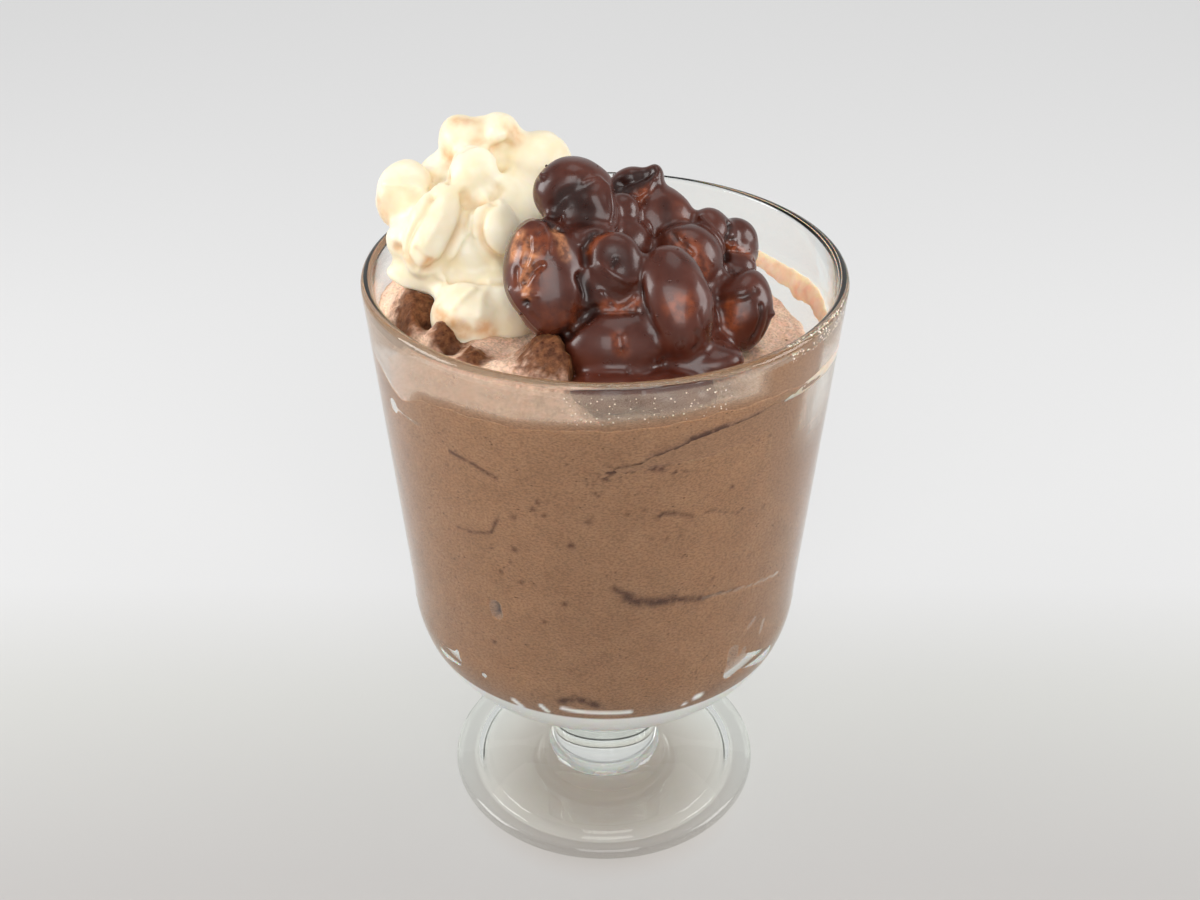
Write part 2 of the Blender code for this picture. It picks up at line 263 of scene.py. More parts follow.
# %% The glass's measures
SHOULDER_RADIUS, SHOULDER_HEIGHT = 37.7 * MM, 51.6 * MM
BOWL_DEPTH, BASE_WALL, WALL = 25.6 * MM, 4.5 * MM, 2.5 * MM
BOWL_BULGE = (2 / 2.65, 2 / 2.345)  # powers that make the bottom fuller than an ellipse
LIP_RADIUS = 1.0 * MM
STEM_WAIST, STEM_FLARE = 10.8 * MM, 1.3 * MM
FOOT_RADIUS, FOOT_EDGE, FOOT_TOP = 31.5 * MM, 1.5 * MM, 4.6 * MM
RING_INSIDE, RECESS = 27.5 * MM, 1.5 * MM
STEM_FROM = 76  # degrees down the round bottom, where it runs into the stem
print("the wall is", round(WALL * 1000, 2), "mm thick,", round(BASE_WALL * 1000, 2), "mm under the mousse")

# %% The glass's curves
def ease(x):
    """0 below 0, 1 above 1, and smooth between; works on single numbers and on arrays."""
    x = np.clip(x, 0.0, 1.0)
    return x * x * (3 - 2 * x)


def bowl_curve(radius, depth, angle):
    """A point of the round bottom, from the shoulder at 0 degrees to the axis at 90."""
    turn = math.radians(angle)
    height = SHOULDER_HEIGHT - depth * math.sin(turn) ** BOWL_BULGE[1]
    return radius * max(math.cos(turn), 0.0) ** BOWL_BULGE[0], height


def inner_radius(height):
    """Radius of the inner wall above the shoulder."""
    share = (height - SHOULDER_HEIGHT) / (HEIGHT - SHOULDER_HEIGHT)
    low = SHOULDER_RADIUS - WALL
    return low + share * (RIM_RADIUS - 2 * LIP_RADIUS - low)


def arc(middle, radius, start, end, count):
    """Points of an arc about middle, angles in degrees."""
    turns = np.radians(np.linspace(start, end, count + 1))
    return [(middle[0] + radius * math.cos(t), middle[1] + radius * math.sin(t)) for t in turns]


def between(start, end, shares):
    """Points on the straight line from start to end."""
    return [(start[0] + s * (end[0] - start[0]), start[1] + s * (end[1] - start[1])) for s in shares]


print("inside the rim the radius is", round(inner_radius(HEIGHT) * 1000, 2), "mm")

# %% The glass's outline
GLASS_SIDES = 192
BOTTOM_STEPS, INSIDE_STEPS, OUTSIDE_STEPS, STEM_STEPS, ARC_STEPS = 34, 16, 12, 22, 12


def glass_outline():
    """Half of the glass's section, from the middle of the inside over the rim to the middle below."""
    points = [bowl_curve(SHOULDER_RADIUS - WALL, BOWL_DEPTH - BASE_WALL, angle)
              for angle in np.linspace(90, 0, BOTTOM_STEPS)]
    heights = np.linspace(SHOULDER_HEIGHT, HEIGHT - LIP_RADIUS, INSIDE_STEPS)
    points += [(inner_radius(z), z) for z in heights[1:-1]]
    points += arc((RIM_RADIUS - LIP_RADIUS, HEIGHT - LIP_RADIUS), LIP_RADIUS, 180, 0, ARC_STEPS)
    points += between((RIM_RADIUS, HEIGHT - LIP_RADIUS), (SHOULDER_RADIUS, SHOULDER_HEIGHT),
                      np.linspace(0, 1, OUTSIDE_STEPS)[1:])
    outside = [bowl_curve(SHOULDER_RADIUS, BOWL_DEPTH, angle)
               for angle in np.linspace(0, STEM_FROM, BOTTOM_STEPS)]
    points += outside[1:]
    low, high = FOOT_TOP, outside[-1][1]
    for z in np.linspace(high, low, STEM_STEPS)[1:]:
        from_waist = abs(2 * z - low - high) / (high - low)
        points.append((STEM_WAIST + STEM_FLARE * from_waist ** 8, z))
    edge_middle = (FOOT_RADIUS - FOOT_EDGE, FOOT_EDGE)
    # A flat needs points too, closer together next to a bend, or its sheen is drawn out over all of it
    points += between(points[-1], (edge_middle[0], 2 * FOOT_EDGE), (0.35, 0.55, 0.75, 0.9, 0.97))
    points += arc(edge_middle, FOOT_EDGE, 90, -90, ARC_STEPS)
    # The underside rises in a soft step, so that only a ring of it stands on the table
    points += [(RING_INSIDE - 2 * RECESS * s, RECESS * float(ease(s))) for s in np.linspace(0, 1, 9)]
    points += between(points[-1], (0.0, RECESS), (0.04, 0.2, 0.5, 0.8, 1.0))
    return points


outline = glass_outline()
print("outline of", len(outline), "points")

# %% A tree that turns an outline round the axis
def turning_tree():
    """A tree that turns an outline, drawn in the XZ plane, round the Z axis."""
    tree = bpy.data.node_groups.new("turn_on_axis", "GeometryNodeTree")
    face = tree.interface
    face.new_socket("Outline", in_out="INPUT", socket_type="NodeSocketGeometry")
    face.new_socket("Points", in_out="INPUT", socket_type="NodeSocketInt")
    face.new_socket("Sides", in_out="INPUT", socket_type="NodeSocketInt")
    face.new_socket("Material", in_out="INPUT", socket_type="NodeSocketMaterial")
    face.new_socket("Glass", in_out="OUTPUT", socket_type="NodeSocketGeometry")
    given = add(tree, "NodeGroupInput").outputs
    columns = add(tree, "ShaderNodeMath", {0: given["Sides"], 1: 1.0}, operation="ADD")
    grid = add(tree, "GeometryNodeMeshGrid", {"Vertices X": given["Points"], "Vertices Y": columns})
    # Which point of the outline each point of the grid is, and how far round
    index = add(tree, "GeometryNodeInputIndex")
    rows = add(tree, "ShaderNodeMath", {0: index, 1: columns}, operation="DIVIDE")
    row = add(tree, "ShaderNodeMath", {0: rows}, operation="FLOOR")
    column = add(tree, "ShaderNodeMath", {0: index, 1: columns}, operation="FLOORED_MODULO")
    step = add(tree, "ShaderNodeMath", {0: math.tau, 1: given["Sides"]}, operation="DIVIDE")
    angle = add(tree, "ShaderNodeMath", {0: column, 1: step}, operation="MULTIPLY")
    where = add(tree, "GeometryNodeInputPosition")
    point = add(tree, "GeometryNodeSampleIndex", {"Geometry": given["Outline"], "Index": row, "Value": where},
                data_type="FLOAT_VECTOR")
    turned = add(tree, "ShaderNodeVectorRotate", {"Vector": point, "Angle": angle}, rotation_type="Z_AXIS")
    placed = add(tree, "GeometryNodeSetPosition", {"Geometry": grid, "Position": turned})
    joined = add(tree, "GeometryNodeMergeByDistance", {"Geometry": placed, "Distance": 0.002 * MM})
    smooth = add(tree, "GeometryNodeSetShadeSmooth", {"Geometry": joined})
    real = add(tree, "GeometryNodeRealizeInstances", {"Geometry": smooth})
    finished = add(tree, "GeometryNodeSetMaterial", {"Geometry": real, "Material": given["Material"]})
    add(tree, "NodeGroupOutput", {"Glass": finished})
    return tree


turn_on_axis = turning_tree()
print("turning tree with", len(turn_on_axis.nodes), "nodes")

# %% [markdown]
# ### From a live tree to a plain mesh
#
# A tree stays live in its modifier until the result is copied into a plain mesh. Its inputs are set by the
# identifiers of their sockets, which never change, while names may. These few helpers serve every piece
# below.

# %% Helpers for pieces
def new_piece(name, mesh):
    """An object at the origin that shows the mesh."""
    piece = bpy.data.objects.new(name, mesh)
    bpy.context.scene.collection.objects.link(piece)
    return piece


def set_inputs(modifier, **values):
    """Set a Geometry Nodes modifier's inputs by the identifiers of their sockets."""
    for item in modifier.node_group.interface.items_tree:
        if item.in_out == "INPUT" and item.name in values:
            modifier[item.identifier] = values[item.name]


def bake(piece):
    """Turn a piece's live modifiers into plain mesh and remove them."""
    bpy.context.view_layer.update()
    graph = bpy.context.evaluated_depsgraph_get()
    mesh = bpy.data.meshes.new_from_object(piece.evaluated_get(graph))
    piece.modifiers.clear()
    old, piece.data = piece.data, mesh
    bpy.data.meshes.remove(old)
    return piece


print("helpers for pieces ready")

# %% Helpers for meshes
def mesh_points(mesh):
    """The mesh's points as an array."""
    flat = np.empty(len(mesh.vertices) * 3)
    mesh.vertices.foreach_get("co", flat)
    return flat.reshape(-1, 3)


def mesh_normals(mesh):
    """The outward direction at each of the mesh's points."""
    flat = np.empty(len(mesh.vertices) * 3)
    mesh.vertex_normals.foreach_get("vector", flat)
    return flat.reshape(-1, 3)


def store(mesh, name, values):
    """Keep one number for each of the mesh's points, for its material to read."""
    mesh.attributes.new(name, "FLOAT", "POINT").data.foreach_set("value", values)


def points_out(mesh):
    """Make every face of a closed mesh point outwards."""
    bm = bmesh.new()
    bm.from_mesh(mesh)
    bmesh.ops.recalc_face_normals(bm, faces=bm.faces)
    bm.to_mesh(mesh)
    bm.free()


print("helpers for meshes ready")

# %% [markdown]
# ### What the glass is made of
#
# Soda-lime glass, pressed and polished in the fire: clear and perfectly smooth, with an index of refraction
# of about 1.5 and a faint green tint that only shows where the eye looks along the wall. Rays that look for
# the lamps go straight through, as otherwise the contents would stay in shadow.

# %% Glass material
clear_glass, tree = new_material("clear_soda_lime_glass")
bent = add(tree, "ShaderNodeBsdfGlass", {"Color": linear("FEFFFE"), "Roughness": 0.0, "IOR": 1.5})
straight = add(tree, "ShaderNodeBsdfTransparent", {"Color": linear("FAFBFA")})
shadow_ray = add(tree, "ShaderNodeLightPath").outputs["Is Shadow Ray"]
finish = add(tree, "ShaderNodeMixShader", {0: shadow_ray, 1: bent, 2: straight})
add(tree, "ShaderNodeOutputMaterial", {"Surface": finish})
print(clear_glass.name)

# %% Build the glass
outline_mesh = bpy.data.meshes.new("glass")
outline_mesh.from_pydata([(r, 0.0, z) for r, z in outline], [(i, i + 1) for i in range(len(outline) - 1)], [])
glass = new_piece("footed_glass", outline_mesh)
turning = glass.modifiers.new("turning", "NODES")
turning.node_group = turn_on_axis
set_inputs(turning, Points=len(outline), Sides=GLASS_SIDES, Material=clear_glass)
bake(glass)
points_out(glass.data)
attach(glass, "root")
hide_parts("glass")
print("glass:", len(glass.data.polygons), "faces")

# %% [markdown]
# ## Shaping: strokes and dents
#
# Food has no rule that gives its shape, so it is modelled as a sculptor would: a smooth form first, then
# creases, ridges and dents pressed into it. One stroke is a path through space. It moves the skin near the
# path in or out, most on the path itself. The same helper serves the mousse, which is a grid, and the
# clusters, which are remeshed.

# %% Strokes
def near_path(points, path, width, power=2.0):
    """For each row of points: 1 on the path, falling to 0 over about twice the width. All in metres."""
    path = np.atleast_2d(np.array(path, dtype=float))
    if len(path) == 1:
        path = np.repeat(path, 2, axis=0)
    field = np.zeros(len(points))
    reach = 2.6 * width
    close = np.where(np.all((points > path.min(0) - reach) & (points < path.max(0) + reach), axis=1))[0]
    if len(close) == 0:
        return field
    spots = points[close]
    nearest = np.full(len(close), 1e9)
    for start, end in zip(path, path[1:]):
        along = end - start
        share = np.clip(((spots - start) @ along) / max(along @ along, 1e-18), 0, 1)
        nearest = np.minimum(nearest, np.linalg.norm(spots - start - share[:, None] * along, axis=1))
    field[close] = np.exp(-((nearest / width) ** power))
    return field


def roughness_of(points, size, seed, octaves=3):
    """Smooth random heights between about -1 and 1; size is the width of a bump."""
    offset = Vector((seed * 7.31, seed * 3.17, seed * 5.77))
    return np.array([noise.fractal(Vector(p) / size + offset, 0.9, 2.0, octaves) for p in points])


print("strokes ready")

# %% Grids
def grid_mesh(name, rings, poles=()):
    """A mesh from an array of rings x points x 3. The rings close on themselves; poles close the two ends."""
    count, sides = rings.shape[:2]
    points = rings.reshape(-1, 3).tolist()
    here = np.arange(count * sides).reshape(count, sides)
    beside = np.roll(here, -1, axis=1)
    faces = np.stack([here[:-1], here[1:], beside[1:], beside[:-1]], axis=-1).reshape(-1, 4).tolist()
    for pole, ring in zip(poles, (0, count - 1)):
        points.append(tuple(pole))
        faces += [(len(points) - 1, a, b) for a, b in zip(here[ring].tolist(), beside[ring].tolist())]
    mesh = bpy.data.meshes.new(name)
    mesh.from_pydata(points, [], faces)
    points_out(mesh)
    mesh.shade_smooth()
    return mesh


print("grids ready")

# %% [markdown]
# ## The nut clusters
#
# Whole nuts are turned in melted chocolate and set in a heap, so each cluster is one skin over rounded
# bodies, with webs of chocolate in the gaps. The nuts lie where the frame has them. They are joined by a
# voxel remesh with cells of 0.3 mm, softened as the coating softens them, and then creased with strokes.

# %% Where the nuts lie
# Each is centre and half sizes in mm, and turn about X, Y and Z in degrees
WHITE_NUTS = (
    ((-25.7, 14, 133.7), (3.9, 4.8, 4.6), (-20, 0, 0)),  # the long nut on top, narrower in its middle
    ((-22.2, 14, 134.6), (3.2, 4.0, 3.4), (-20, 0, 0)),
    ((-18.9, 14, 135.2), (4.0, 4.6, 3.4), (-20, -5, 0)),
    ((-35.1, 6, 126.6), (5.3, 5.0, 6.3), (-20, 10, 0)),  # left
    ((-22.9, 5, 131.0), (4.5, 4.6, 5.0), (-20, 10, 0)),  # middle
    ((-29.4, -3, 124.1), (4.8, 4.8, 8.4), (-32, 27, 0)),  # the leaning almond
    ((-35.5, -1, 121.0), (2.7, 3.2, 3.4), (0, 0, 0)),
    ((-18.9, -3, 124.2), (3.9, 4.2, 5.8), (-25, -8, 0)),
    ((-12.2, 13, 128.4), (6.6, 6.5, 7.2), (0, 20, 0)),  # the smooth shoulder on the right
    ((-23.6, -10, 110.8), (6.8, 6.0, 6.4), (-20, 20, 0)),  # low at the front
    ((-18.0, -8, 111.0), (6.2, 5.6, 7.0), (-20, -10, 0)),
    ((-28.4, -2, 115.2), (9.6, 4.6, 4.0), (0, 8, 0)),  # chocolate between the nuts
    ((-24.0, 0, 119.0), (9.0, 6.0, 6.5), (-20, 10, 0)),
    ((-20.5, 6, 124.0), (8.6, 7.4, 7.6), (0, 0, 0)),
    ((-14.5, 5, 121.5), (6.0, 6.5, 7.5), (0, 0, 0)),
    ((-25.5, 14, 124.5), (9.0, 7.6, 8.0), (0, 0, 0)),  # the back of the cluster
    ((-15.0, 13, 119.0), (9.0, 7.0, 9.0), (0, 0, 0)),
    ((-25.0, 5, 115.5), (11.0, 10.0, 5.5), (0, 8, 0)),
)
DARK_NUTS = (
    ((-5.4, -7, 132.4), (6.6, 5.8, 6.3), (-20, -10, 0)),  # top left, in two halves
    ((-2.0, -9.8, 131.4), (3.9, 4.0, 6.0), (-20, -30, 0)),
    ((-9.7, -19, 122.7), (7.0, 6.2, 10.3), (-32, -12, 0)),  # the big almond at the front left
    ((-6.2, -18.8, 119.9), (5.2, 5.2, 6.0), (-25, 10, 0)),
    ((1.6, -19, 125.0), (4.5, 3.6, 5.6), (-32, -15, 0)),  # its flat neighbour
    ((1.6, -19.6, 120.4), (3.7, 3.8, 3.6), (-20, 0, 0)),
    ((4.8, 2.4, 129.6), (4.8, 3.6, 3.6), (0, -22, 0)),  # top, curled
    ((8.2, 3, 131.0), (2.0, 2.6, 2.9), (0, 10, 0)),
    ((9.3, 0, 124.2), (6.0, 5.2, 6.4), (-20, -10, 0)),
    ((14.2, -8.5, 120.7), (6.1, 5.2, 6.6), (-20, -15, 0)),
    ((11.6, -22, 119.5), (6.1, 5.8, 9.6), (-32, -18, 0)),  # the big nut at the front right
    ((18.9, -1.5, 122.3), (3.8, 3.8, 4.9), (0, -25, 0)),  # the creased nut at the right
    ((23.6, 1.0, 119.6), (3.4, 3.6, 4.9), (0, -20, 0)),
    ((22.4, -3.6, 116.8), (4.2, 4.0, 3.9), (0, -10, 0)),
    ((23.4, -13, 113.7), (5.2, 5.2, 7.2), (-20, 12, 0)),  # far right
    ((1.6, -24.8, 113.4), (8.4, 5.6, 6.2), (-30, 0, 0)),  # low at the front
    ((16.0, -25, 110.8), (7.0, 4.4, 3.0), (0, 0, 0)),
    ((2.4, -8, 122.4), (5.4, 5.6, 6.4), (0, 0, 0)),  # chocolate between the nuts
    ((-3.0, -14.5, 126.6), (4.6, 4.2, 4.6), (-30, 0, 0)),
    ((2.8, -5.0, 128.0), (3.0, 3.0, 3.4), (0, 0, 0)),
    ((-1.5, -20.5, 119.5), (4.0, 4.0, 5.5), (-30, 0, 0)),
    ((7.0, -18, 114.5), (11.5, 8.0, 8.4), (-20, 10, 0)),
    ((12.0, -8, 114.0), (12.0, 9.0, 7.5), (0, 10, 0)),
    ((8.0, -17, 109.4), (14.0, 10.5, 4.4), (0, 0, 0)),
    ((14.0, -1, 114.6), (10.0, 6.5, 7.0), (0, 8, 0)),  # the back of the cluster
    ((1.0, -31, 108.4), (7.0, 5.2, 3.4), (-10, 0, 0)),  # low along the glass
    ((10.5, -31, 107.8), (7.5, 4.8, 3.2), (-10, 4, 0)),
)
print(len(WHITE_NUTS), "white and", len(DARK_NUTS), "dark rounds")

# %% One skin over the nuts
COATING = 0.1 * MM
CLUSTER_VOXEL = 0.3 * MM
WHITE_FILLING, DARK_FILLING = 1.3 * MM, 0.85 * MM  # radius of the fillets of chocolate between the nuts


def coat_nuts(name, nuts, filling):
    """The coated cluster, still without its creases. Swelling and shrinking it again fills narrow gaps."""
    bm = bmesh.new()
    for centre, half, turn in nuts:
        place = (Matrix.Translation(Vector(centre) * MM)
                 @ Euler([math.radians(t) for t in turn]).to_matrix().to_4x4()
                 @ Matrix.Diagonal((*[h * MM + COATING for h in half], 1.0)))
        bmesh.ops.create_icosphere(bm, subdivisions=4, radius=1.0, matrix=place)
    mesh = bpy.data.meshes.new(name)
    bm.to_mesh(mesh)
    bm.free()
    cluster = new_piece(name, mesh)
    rounds = ((4, filling), (3, -filling), (10, 0.0))  # how often each one softens, and how far it swells
    for step, (softening, push) in enumerate(rounds):
        skin = cluster.modifiers.new(f"one_skin_{step}", "REMESH")
        skin.mode = "VOXEL"
        skin.voxel_size = CLUSTER_VOXEL
        soften = cluster.modifiers.new(f"soften_{step}", "SMOOTH")
        soften.factor = 0.5
        soften.iterations = softening
        if push:
            swell = cluster.modifiers.new(f"push_{step}", "DISPLACE")
            swell.mid_level = 0.0
            swell.strength = push
    return bake(cluster)


print("each coat is", COATING / MM, "mm thick")

# %% Creases and marks
FULL_CREASE = 0.5 * MM  # a crease this deep has its full painted shade


def press(piece, strokes, grain):
    """Move a piece's skin along its normals and store on it where it is creased, for painted shade there.

    A stroke is (path in mm, width, rise) and a grain is (size, rise, octaves), all in mm.
    """
    points, normals = mesh_points(piece.data), mesh_normals(piece.data)
    rise = np.zeros(len(points))
    for path, width, amount in strokes:
        rise += amount * MM * near_path(points, np.array(path) * MM, width * MM)
    store(piece.data, "crease", np.clip(-rise / FULL_CREASE, 0, 1))
    for number, (size, amount, octaves) in enumerate(grain):
        rise += amount * MM * roughness_of(points, size * MM, number + 1, octaves)
    points += normals * rise[:, None]
    piece.data.vertices.foreach_set("co", points.ravel())
    piece.data.update()
    piece.data.shade_smooth()


def mark(piece, name, spots):
    """Store on each point how near it is to the spots: (path in mm, width in mm, strength)."""
    points = mesh_points(piece.data)
    values = np.zeros(len(points))
    for path, width, strength in spots:
        values = np.maximum(values, strength * near_path(points, np.array(path) * MM, width * MM, 3.0))
    store(piece.data, name, values)


print("helpers for creases and marks ready")

# %% [markdown]
# ### Creases of the white cluster
#
# Each line is one stroke of the sculptor: a path in mm, the width of the stroke, and how far the skin
# rises. A negative rise is a crease. The coat folds where two nuts meet, and it runs down in soft ridges
# before it sets.

# %% Creases of the white cluster
WHITE_STROKES = (
    (((-22, 13, 138), (-21.8, 11, 137)), 1.4, -0.5),  # the notch in the long nut on top
    (((-17.5, 10.8, 137.7), (-16.6, 10.4, 136.3), (-17.6, 10.1, 134.6)), 0.7, -0.45),
    (((-19.3, 10.2, 137.3), (-18.7, 9.6, 136.3), (-19.3, 9.4, 135.2)), 0.6, 0.3),
    (((-27.1, 5.2, 133.1), (-24.2, 4.6, 135.1), (-21.4, 6.6, 135.6), (-18.8, 9.6, 133.9),
      (-16.7, 10.3, 134.3)), 0.8, -0.6),
    (((-18.3, 5.5, 132.1), (-18.1, 7.5, 131.6)), 0.75, -1.6),  # a small hole between three nuts
    (((-29.6, 7.7, 129.4), (-31.4, 8.6, 130.9)), 0.8, -0.5),
    (((-38.3, 3.4, 129.8), (-34.9, 2.2, 130.1), (-32.0, 2.6, 129.5)), 0.7, 0.35),  # facets of the left nut
    (((-34.5, 0.7, 127.1), (-34.9, -0.9, 124.7)), 0.9, 0.3),
    (((-37.5, 1.6, 127.8), (-36.9, 0.9, 125.4)), 1.3, -0.35),
    (((-33.3, 2.0, 131.8), (-33.0, 1.0, 128.3)), 1.5, -0.3),
    (((-27.1, 3.5, 131.9), (-26.9, 0.3, 131.1)), 0.45, -0.6),  # the link between the left and the middle nut
    (((-28.3, 5.0, 131.5), (-28.6, 1.5, 130.6)), 0.5, 0.3),
    (((-29.6, 8.0, 129.6), (-30.1, 3.9, 128.9), (-29.7, -2.8, 130.0)), 0.7, -0.5),
    (((-23.6, -1.3, 128.6), (-21.8, -2.2, 128.7), (-19.7, -2.6, 129.5), (-18.2, 1.6, 129.9)), 0.9, -0.8),
    (((-21.9, 4.5, 135.9), (-20.4, 8.0, 134.9)), 0.8, 0.25),
    (((-24.5, -0.6, 129.6), (-23.8, -2.6, 128), (-24.4, -4.8, 125.8), (-25.8, -6.7, 123.2),
      (-27.6, -7.8, 120.5), (-30.4, -8.7, 118.9)), 0.9, -0.75),  # round the leaning almond
    (((-29.6, -3.2, 130.2), (-30.8, -5.2, 128), (-32.4, -6.2, 126), (-33.9, -6.9, 123.7),
      (-34.0, -7.5, 121.6), (-32.6, -8.4, 119.6)), 0.8, -0.65),
    (((-27.4, -3.5, 130.4), (-27.6, -5.6, 128.6), (-28.9, -7.2, 126.5), (-30.6, -8.4, 124)), 1.0, 0.3),
    (((-32.2, -8.5, 123.1), (-31.1, -9.0, 122.1), (-29.7, -8.9, 121.1)), 0.45, -0.3),
    (((-35.6, -4.6, 121.3),), 1.0, -0.6),
    (((-36.4, -3.6, 122.8),), 0.9, 0.4),
    (((-18.8, -3.4, 129.3), (-20.8, -4.6, 128), (-21.5, -5.8, 125.7), (-20.8, -6.9, 123),
      (-18.9, -7.3, 121), (-17.4, -6.9, 120.2)), 0.75, -0.75),  # the half nut beside it
    # drips
    (((-22.9, -3.7, 126.9), (-23.4, -4.7, 124.5), (-25, -5.5, 122.7), (-26.2, -6.5, 120.6)), 0.6, 0.45),
    (((-21.7, -3.5, 128.1), (-22.1, -4.7, 126.4), (-22.3, -5.4, 124.2)), 0.6, 0.4),
    (((-28.3, -7.9, 116.3), (-25.4, -7.9, 116.8), (-22.5, -8.3, 116.9), (-20.1, -9.4, 117.0),
      (-17.4, -9.5, 117.2)), 0.6, -0.5),
    (((-22.5, -11.4, 116.9), (-24.3, -13.4, 116.1), (-25.6, -14.4, 114.9)), 0.6, 0.4),
    (((-20, -9.6, 117), (-21.1, -12.8, 115.7), (-21.3, -15, 113.6)), 0.8, 0.3),
    (((-24.0, -16.0, 111.9), (-22.7, -16.3, 110.7), (-20.0, -15.9, 110.3)), 1.1, -0.45),
    (((-26.8, -14.4, 112.9), (-25.6, -15.9, 111.6)), 1.0, -0.4),
    (((-24.6, -15.8, 108.4), (-22.8, -17.0, 108.0), (-20.4, -17.2, 108.0), (-18.2, -16.4, 108.4)),
      0.7, 1.0),  # lip
    (((-38.5, -2.0, 116.4), (-36.6, -4.6, 115.3), (-33.9, -6.0, 113.7), (-31.3, -6.8, 112.8)), 0.7, 0.5),
)
WHITE_TAN = (  # where the coat is thin and the nut's own tan shows: path, width, strength
    (((-27.8, 10.2, 132.3), (-26.5, 9.6, 131.6)), 1.9, 0.75),
    (((-26, 12.5, 138), (-23.8, 13, 138.2)), 1.6, 0.7),
    (((-15.8, 11.3, 136.3), (-15.6, 11.5, 134.6)), 1.5, 0.65),
    (((-22.6, 9.6, 134.8), (-19.3, 9.6, 134.6)), 1.2, 0.55),
    (((-18.3, 5.7, 132.1),), 1.0, 1.0),
    (((-39.4, 2.8, 126.2), (-38.6, 2.5, 123.8)), 1.8, 0.65),
    (((-27.1, 3, 131.7), (-29.2, 3, 129.8)), 1.0, 0.5),
    (((-23.6, -1.2, 128.8), (-21.2, -2.2, 128.9)), 1.2, 0.5),
    (((-30.4, -8.8, 119.8), (-30.0, -8.7, 120.6)), 1.2, 1.0),
    (((-33.6, -8.2, 120.8), (-35.4, -4.8, 121.3), (-36.0, -4.2, 121.4)), 1.0, 0.7),
    (((-24.6, -4.8, 125.8), (-26, -6.7, 123.2)), 0.9, 0.4),
    (((-21.5, -5.9, 125.7), (-20.8, -7, 123), (-18.9, -7.4, 121)), 0.9, 0.45),
    (((-28.6, -13.3, 113.4), (-27.2, -15.0, 112.4)), 1.6, 0.8),
    (((-25.6, -15.6, 112), (-24.2, -16.2, 111.0)), 1.7, 0.9),
    (((-20.4, -15.5, 111.4), (-19.5, -15.4, 110.2)), 1.8, 0.85),
)
print(len(WHITE_STROKES), "strokes and", len(WHITE_TAN), "tan places")

# %% The white cluster
WHITE_GRAIN = ((6.0, 0.35, 2), (1.3, 0.03, 3))  # soft waves, and a fine roughness
white = coat_nuts("white_chocolate_cluster", WHITE_NUTS, WHITE_FILLING)
press(white, WHITE_STROKES, WHITE_GRAIN)
mark(white, "tan", WHITE_TAN)
print("white cluster:", len(white.data.polygons), "faces")

# %% [markdown]
# ### White chocolate
#
# White chocolate is cocoa butter, sugar and milk powder: ivory, and slightly see-through at thin edges, so
# light scatters below its surface. It set by itself, without a mould, so it has a soft gloss. Where the
# coat is thin the roasted nut tints it tan.

# %% White chocolate: its colours
white_chocolate, tree = new_material("white_chocolate_set_unmoulded")
place = add(tree, "ShaderNodeTexCoord").outputs["Object"]
clouds = add(tree, "ShaderNodeTexNoise", {"Vector": place, "Scale": 1 / (7 * MM), "Detail": 3.0})
ivory = add(tree, "ShaderNodeValToRGB", {"Fac": clouds}, ((0.35, "F1E3C1"), (0.62, "F8EFD8")))
# Creases are tinted darker: painted shade
crease = add(tree, "ShaderNodeAttribute", attribute_name="crease").outputs["Fac"]
painted_crease_shade = add(tree, "ShaderNodeMath", {0: crease, 1: 0.45}, operation="MULTIPLY")
with_painted_crease_shade = add(tree, "ShaderNodeMix", {"Factor": painted_crease_shade, "A": ivory, "B": linear("DCC08C")},
              data_type="RGBA")
patches = add(tree, "ShaderNodeTexNoise", {"Vector": place, "Scale": 1 / (1.6 * MM), "Detail": 4.0})
patchy = add(tree, "ShaderNodeMapRange", {"Value": patches, "From Min": 0.3, "From Max": 0.6, "To Min": 0.45})
thin_coat = add(tree, "ShaderNodeAttribute", attribute_name="tan").outputs["Fac"]
nut_shows = add(tree, "ShaderNodeMath", {0: thin_coat, 1: patchy}, operation="MULTIPLY")
colour = add(tree, "ShaderNodeMix", {"Factor": nut_shows, "A": with_painted_crease_shade, "B": linear("DBA873")},
             data_type="RGBA")
print("colour of the white chocolate:", len(tree.nodes), "nodes")

# %% White chocolate: its finish
ripples = add(tree, "ShaderNodeTexNoise", {"Vector": place, "Scale": 1 / (1.2 * MM), "Detail": 2.0})
bump = add(tree, "ShaderNodeBump", {"Height": ripples, "Strength": 0.12, "Distance": 0.15 * MM})
finish = add(tree, "ShaderNodeBsdfPrincipled", {
    "Base Color": colour, "Roughness": 0.36, "IOR": 1.46, "Subsurface Weight": 0.3,
    "Subsurface Radius": (2.4, 1.6, 0.8), "Subsurface Scale": 1.0 * MM, "Normal": bump})
add(tree, "ShaderNodeOutputMaterial", {"Surface": finish})
white.data.materials.clear()
white.data.materials.append(white_chocolate)
print(white_chocolate.name)

# %% [markdown]
# ### Creases of the dark cluster
#
# The dark coat is thicker. It rolls over at its edges, folds like a walnut on the right, and leaves the
# skin of the nuts bare in a few places, which show orange-brown.

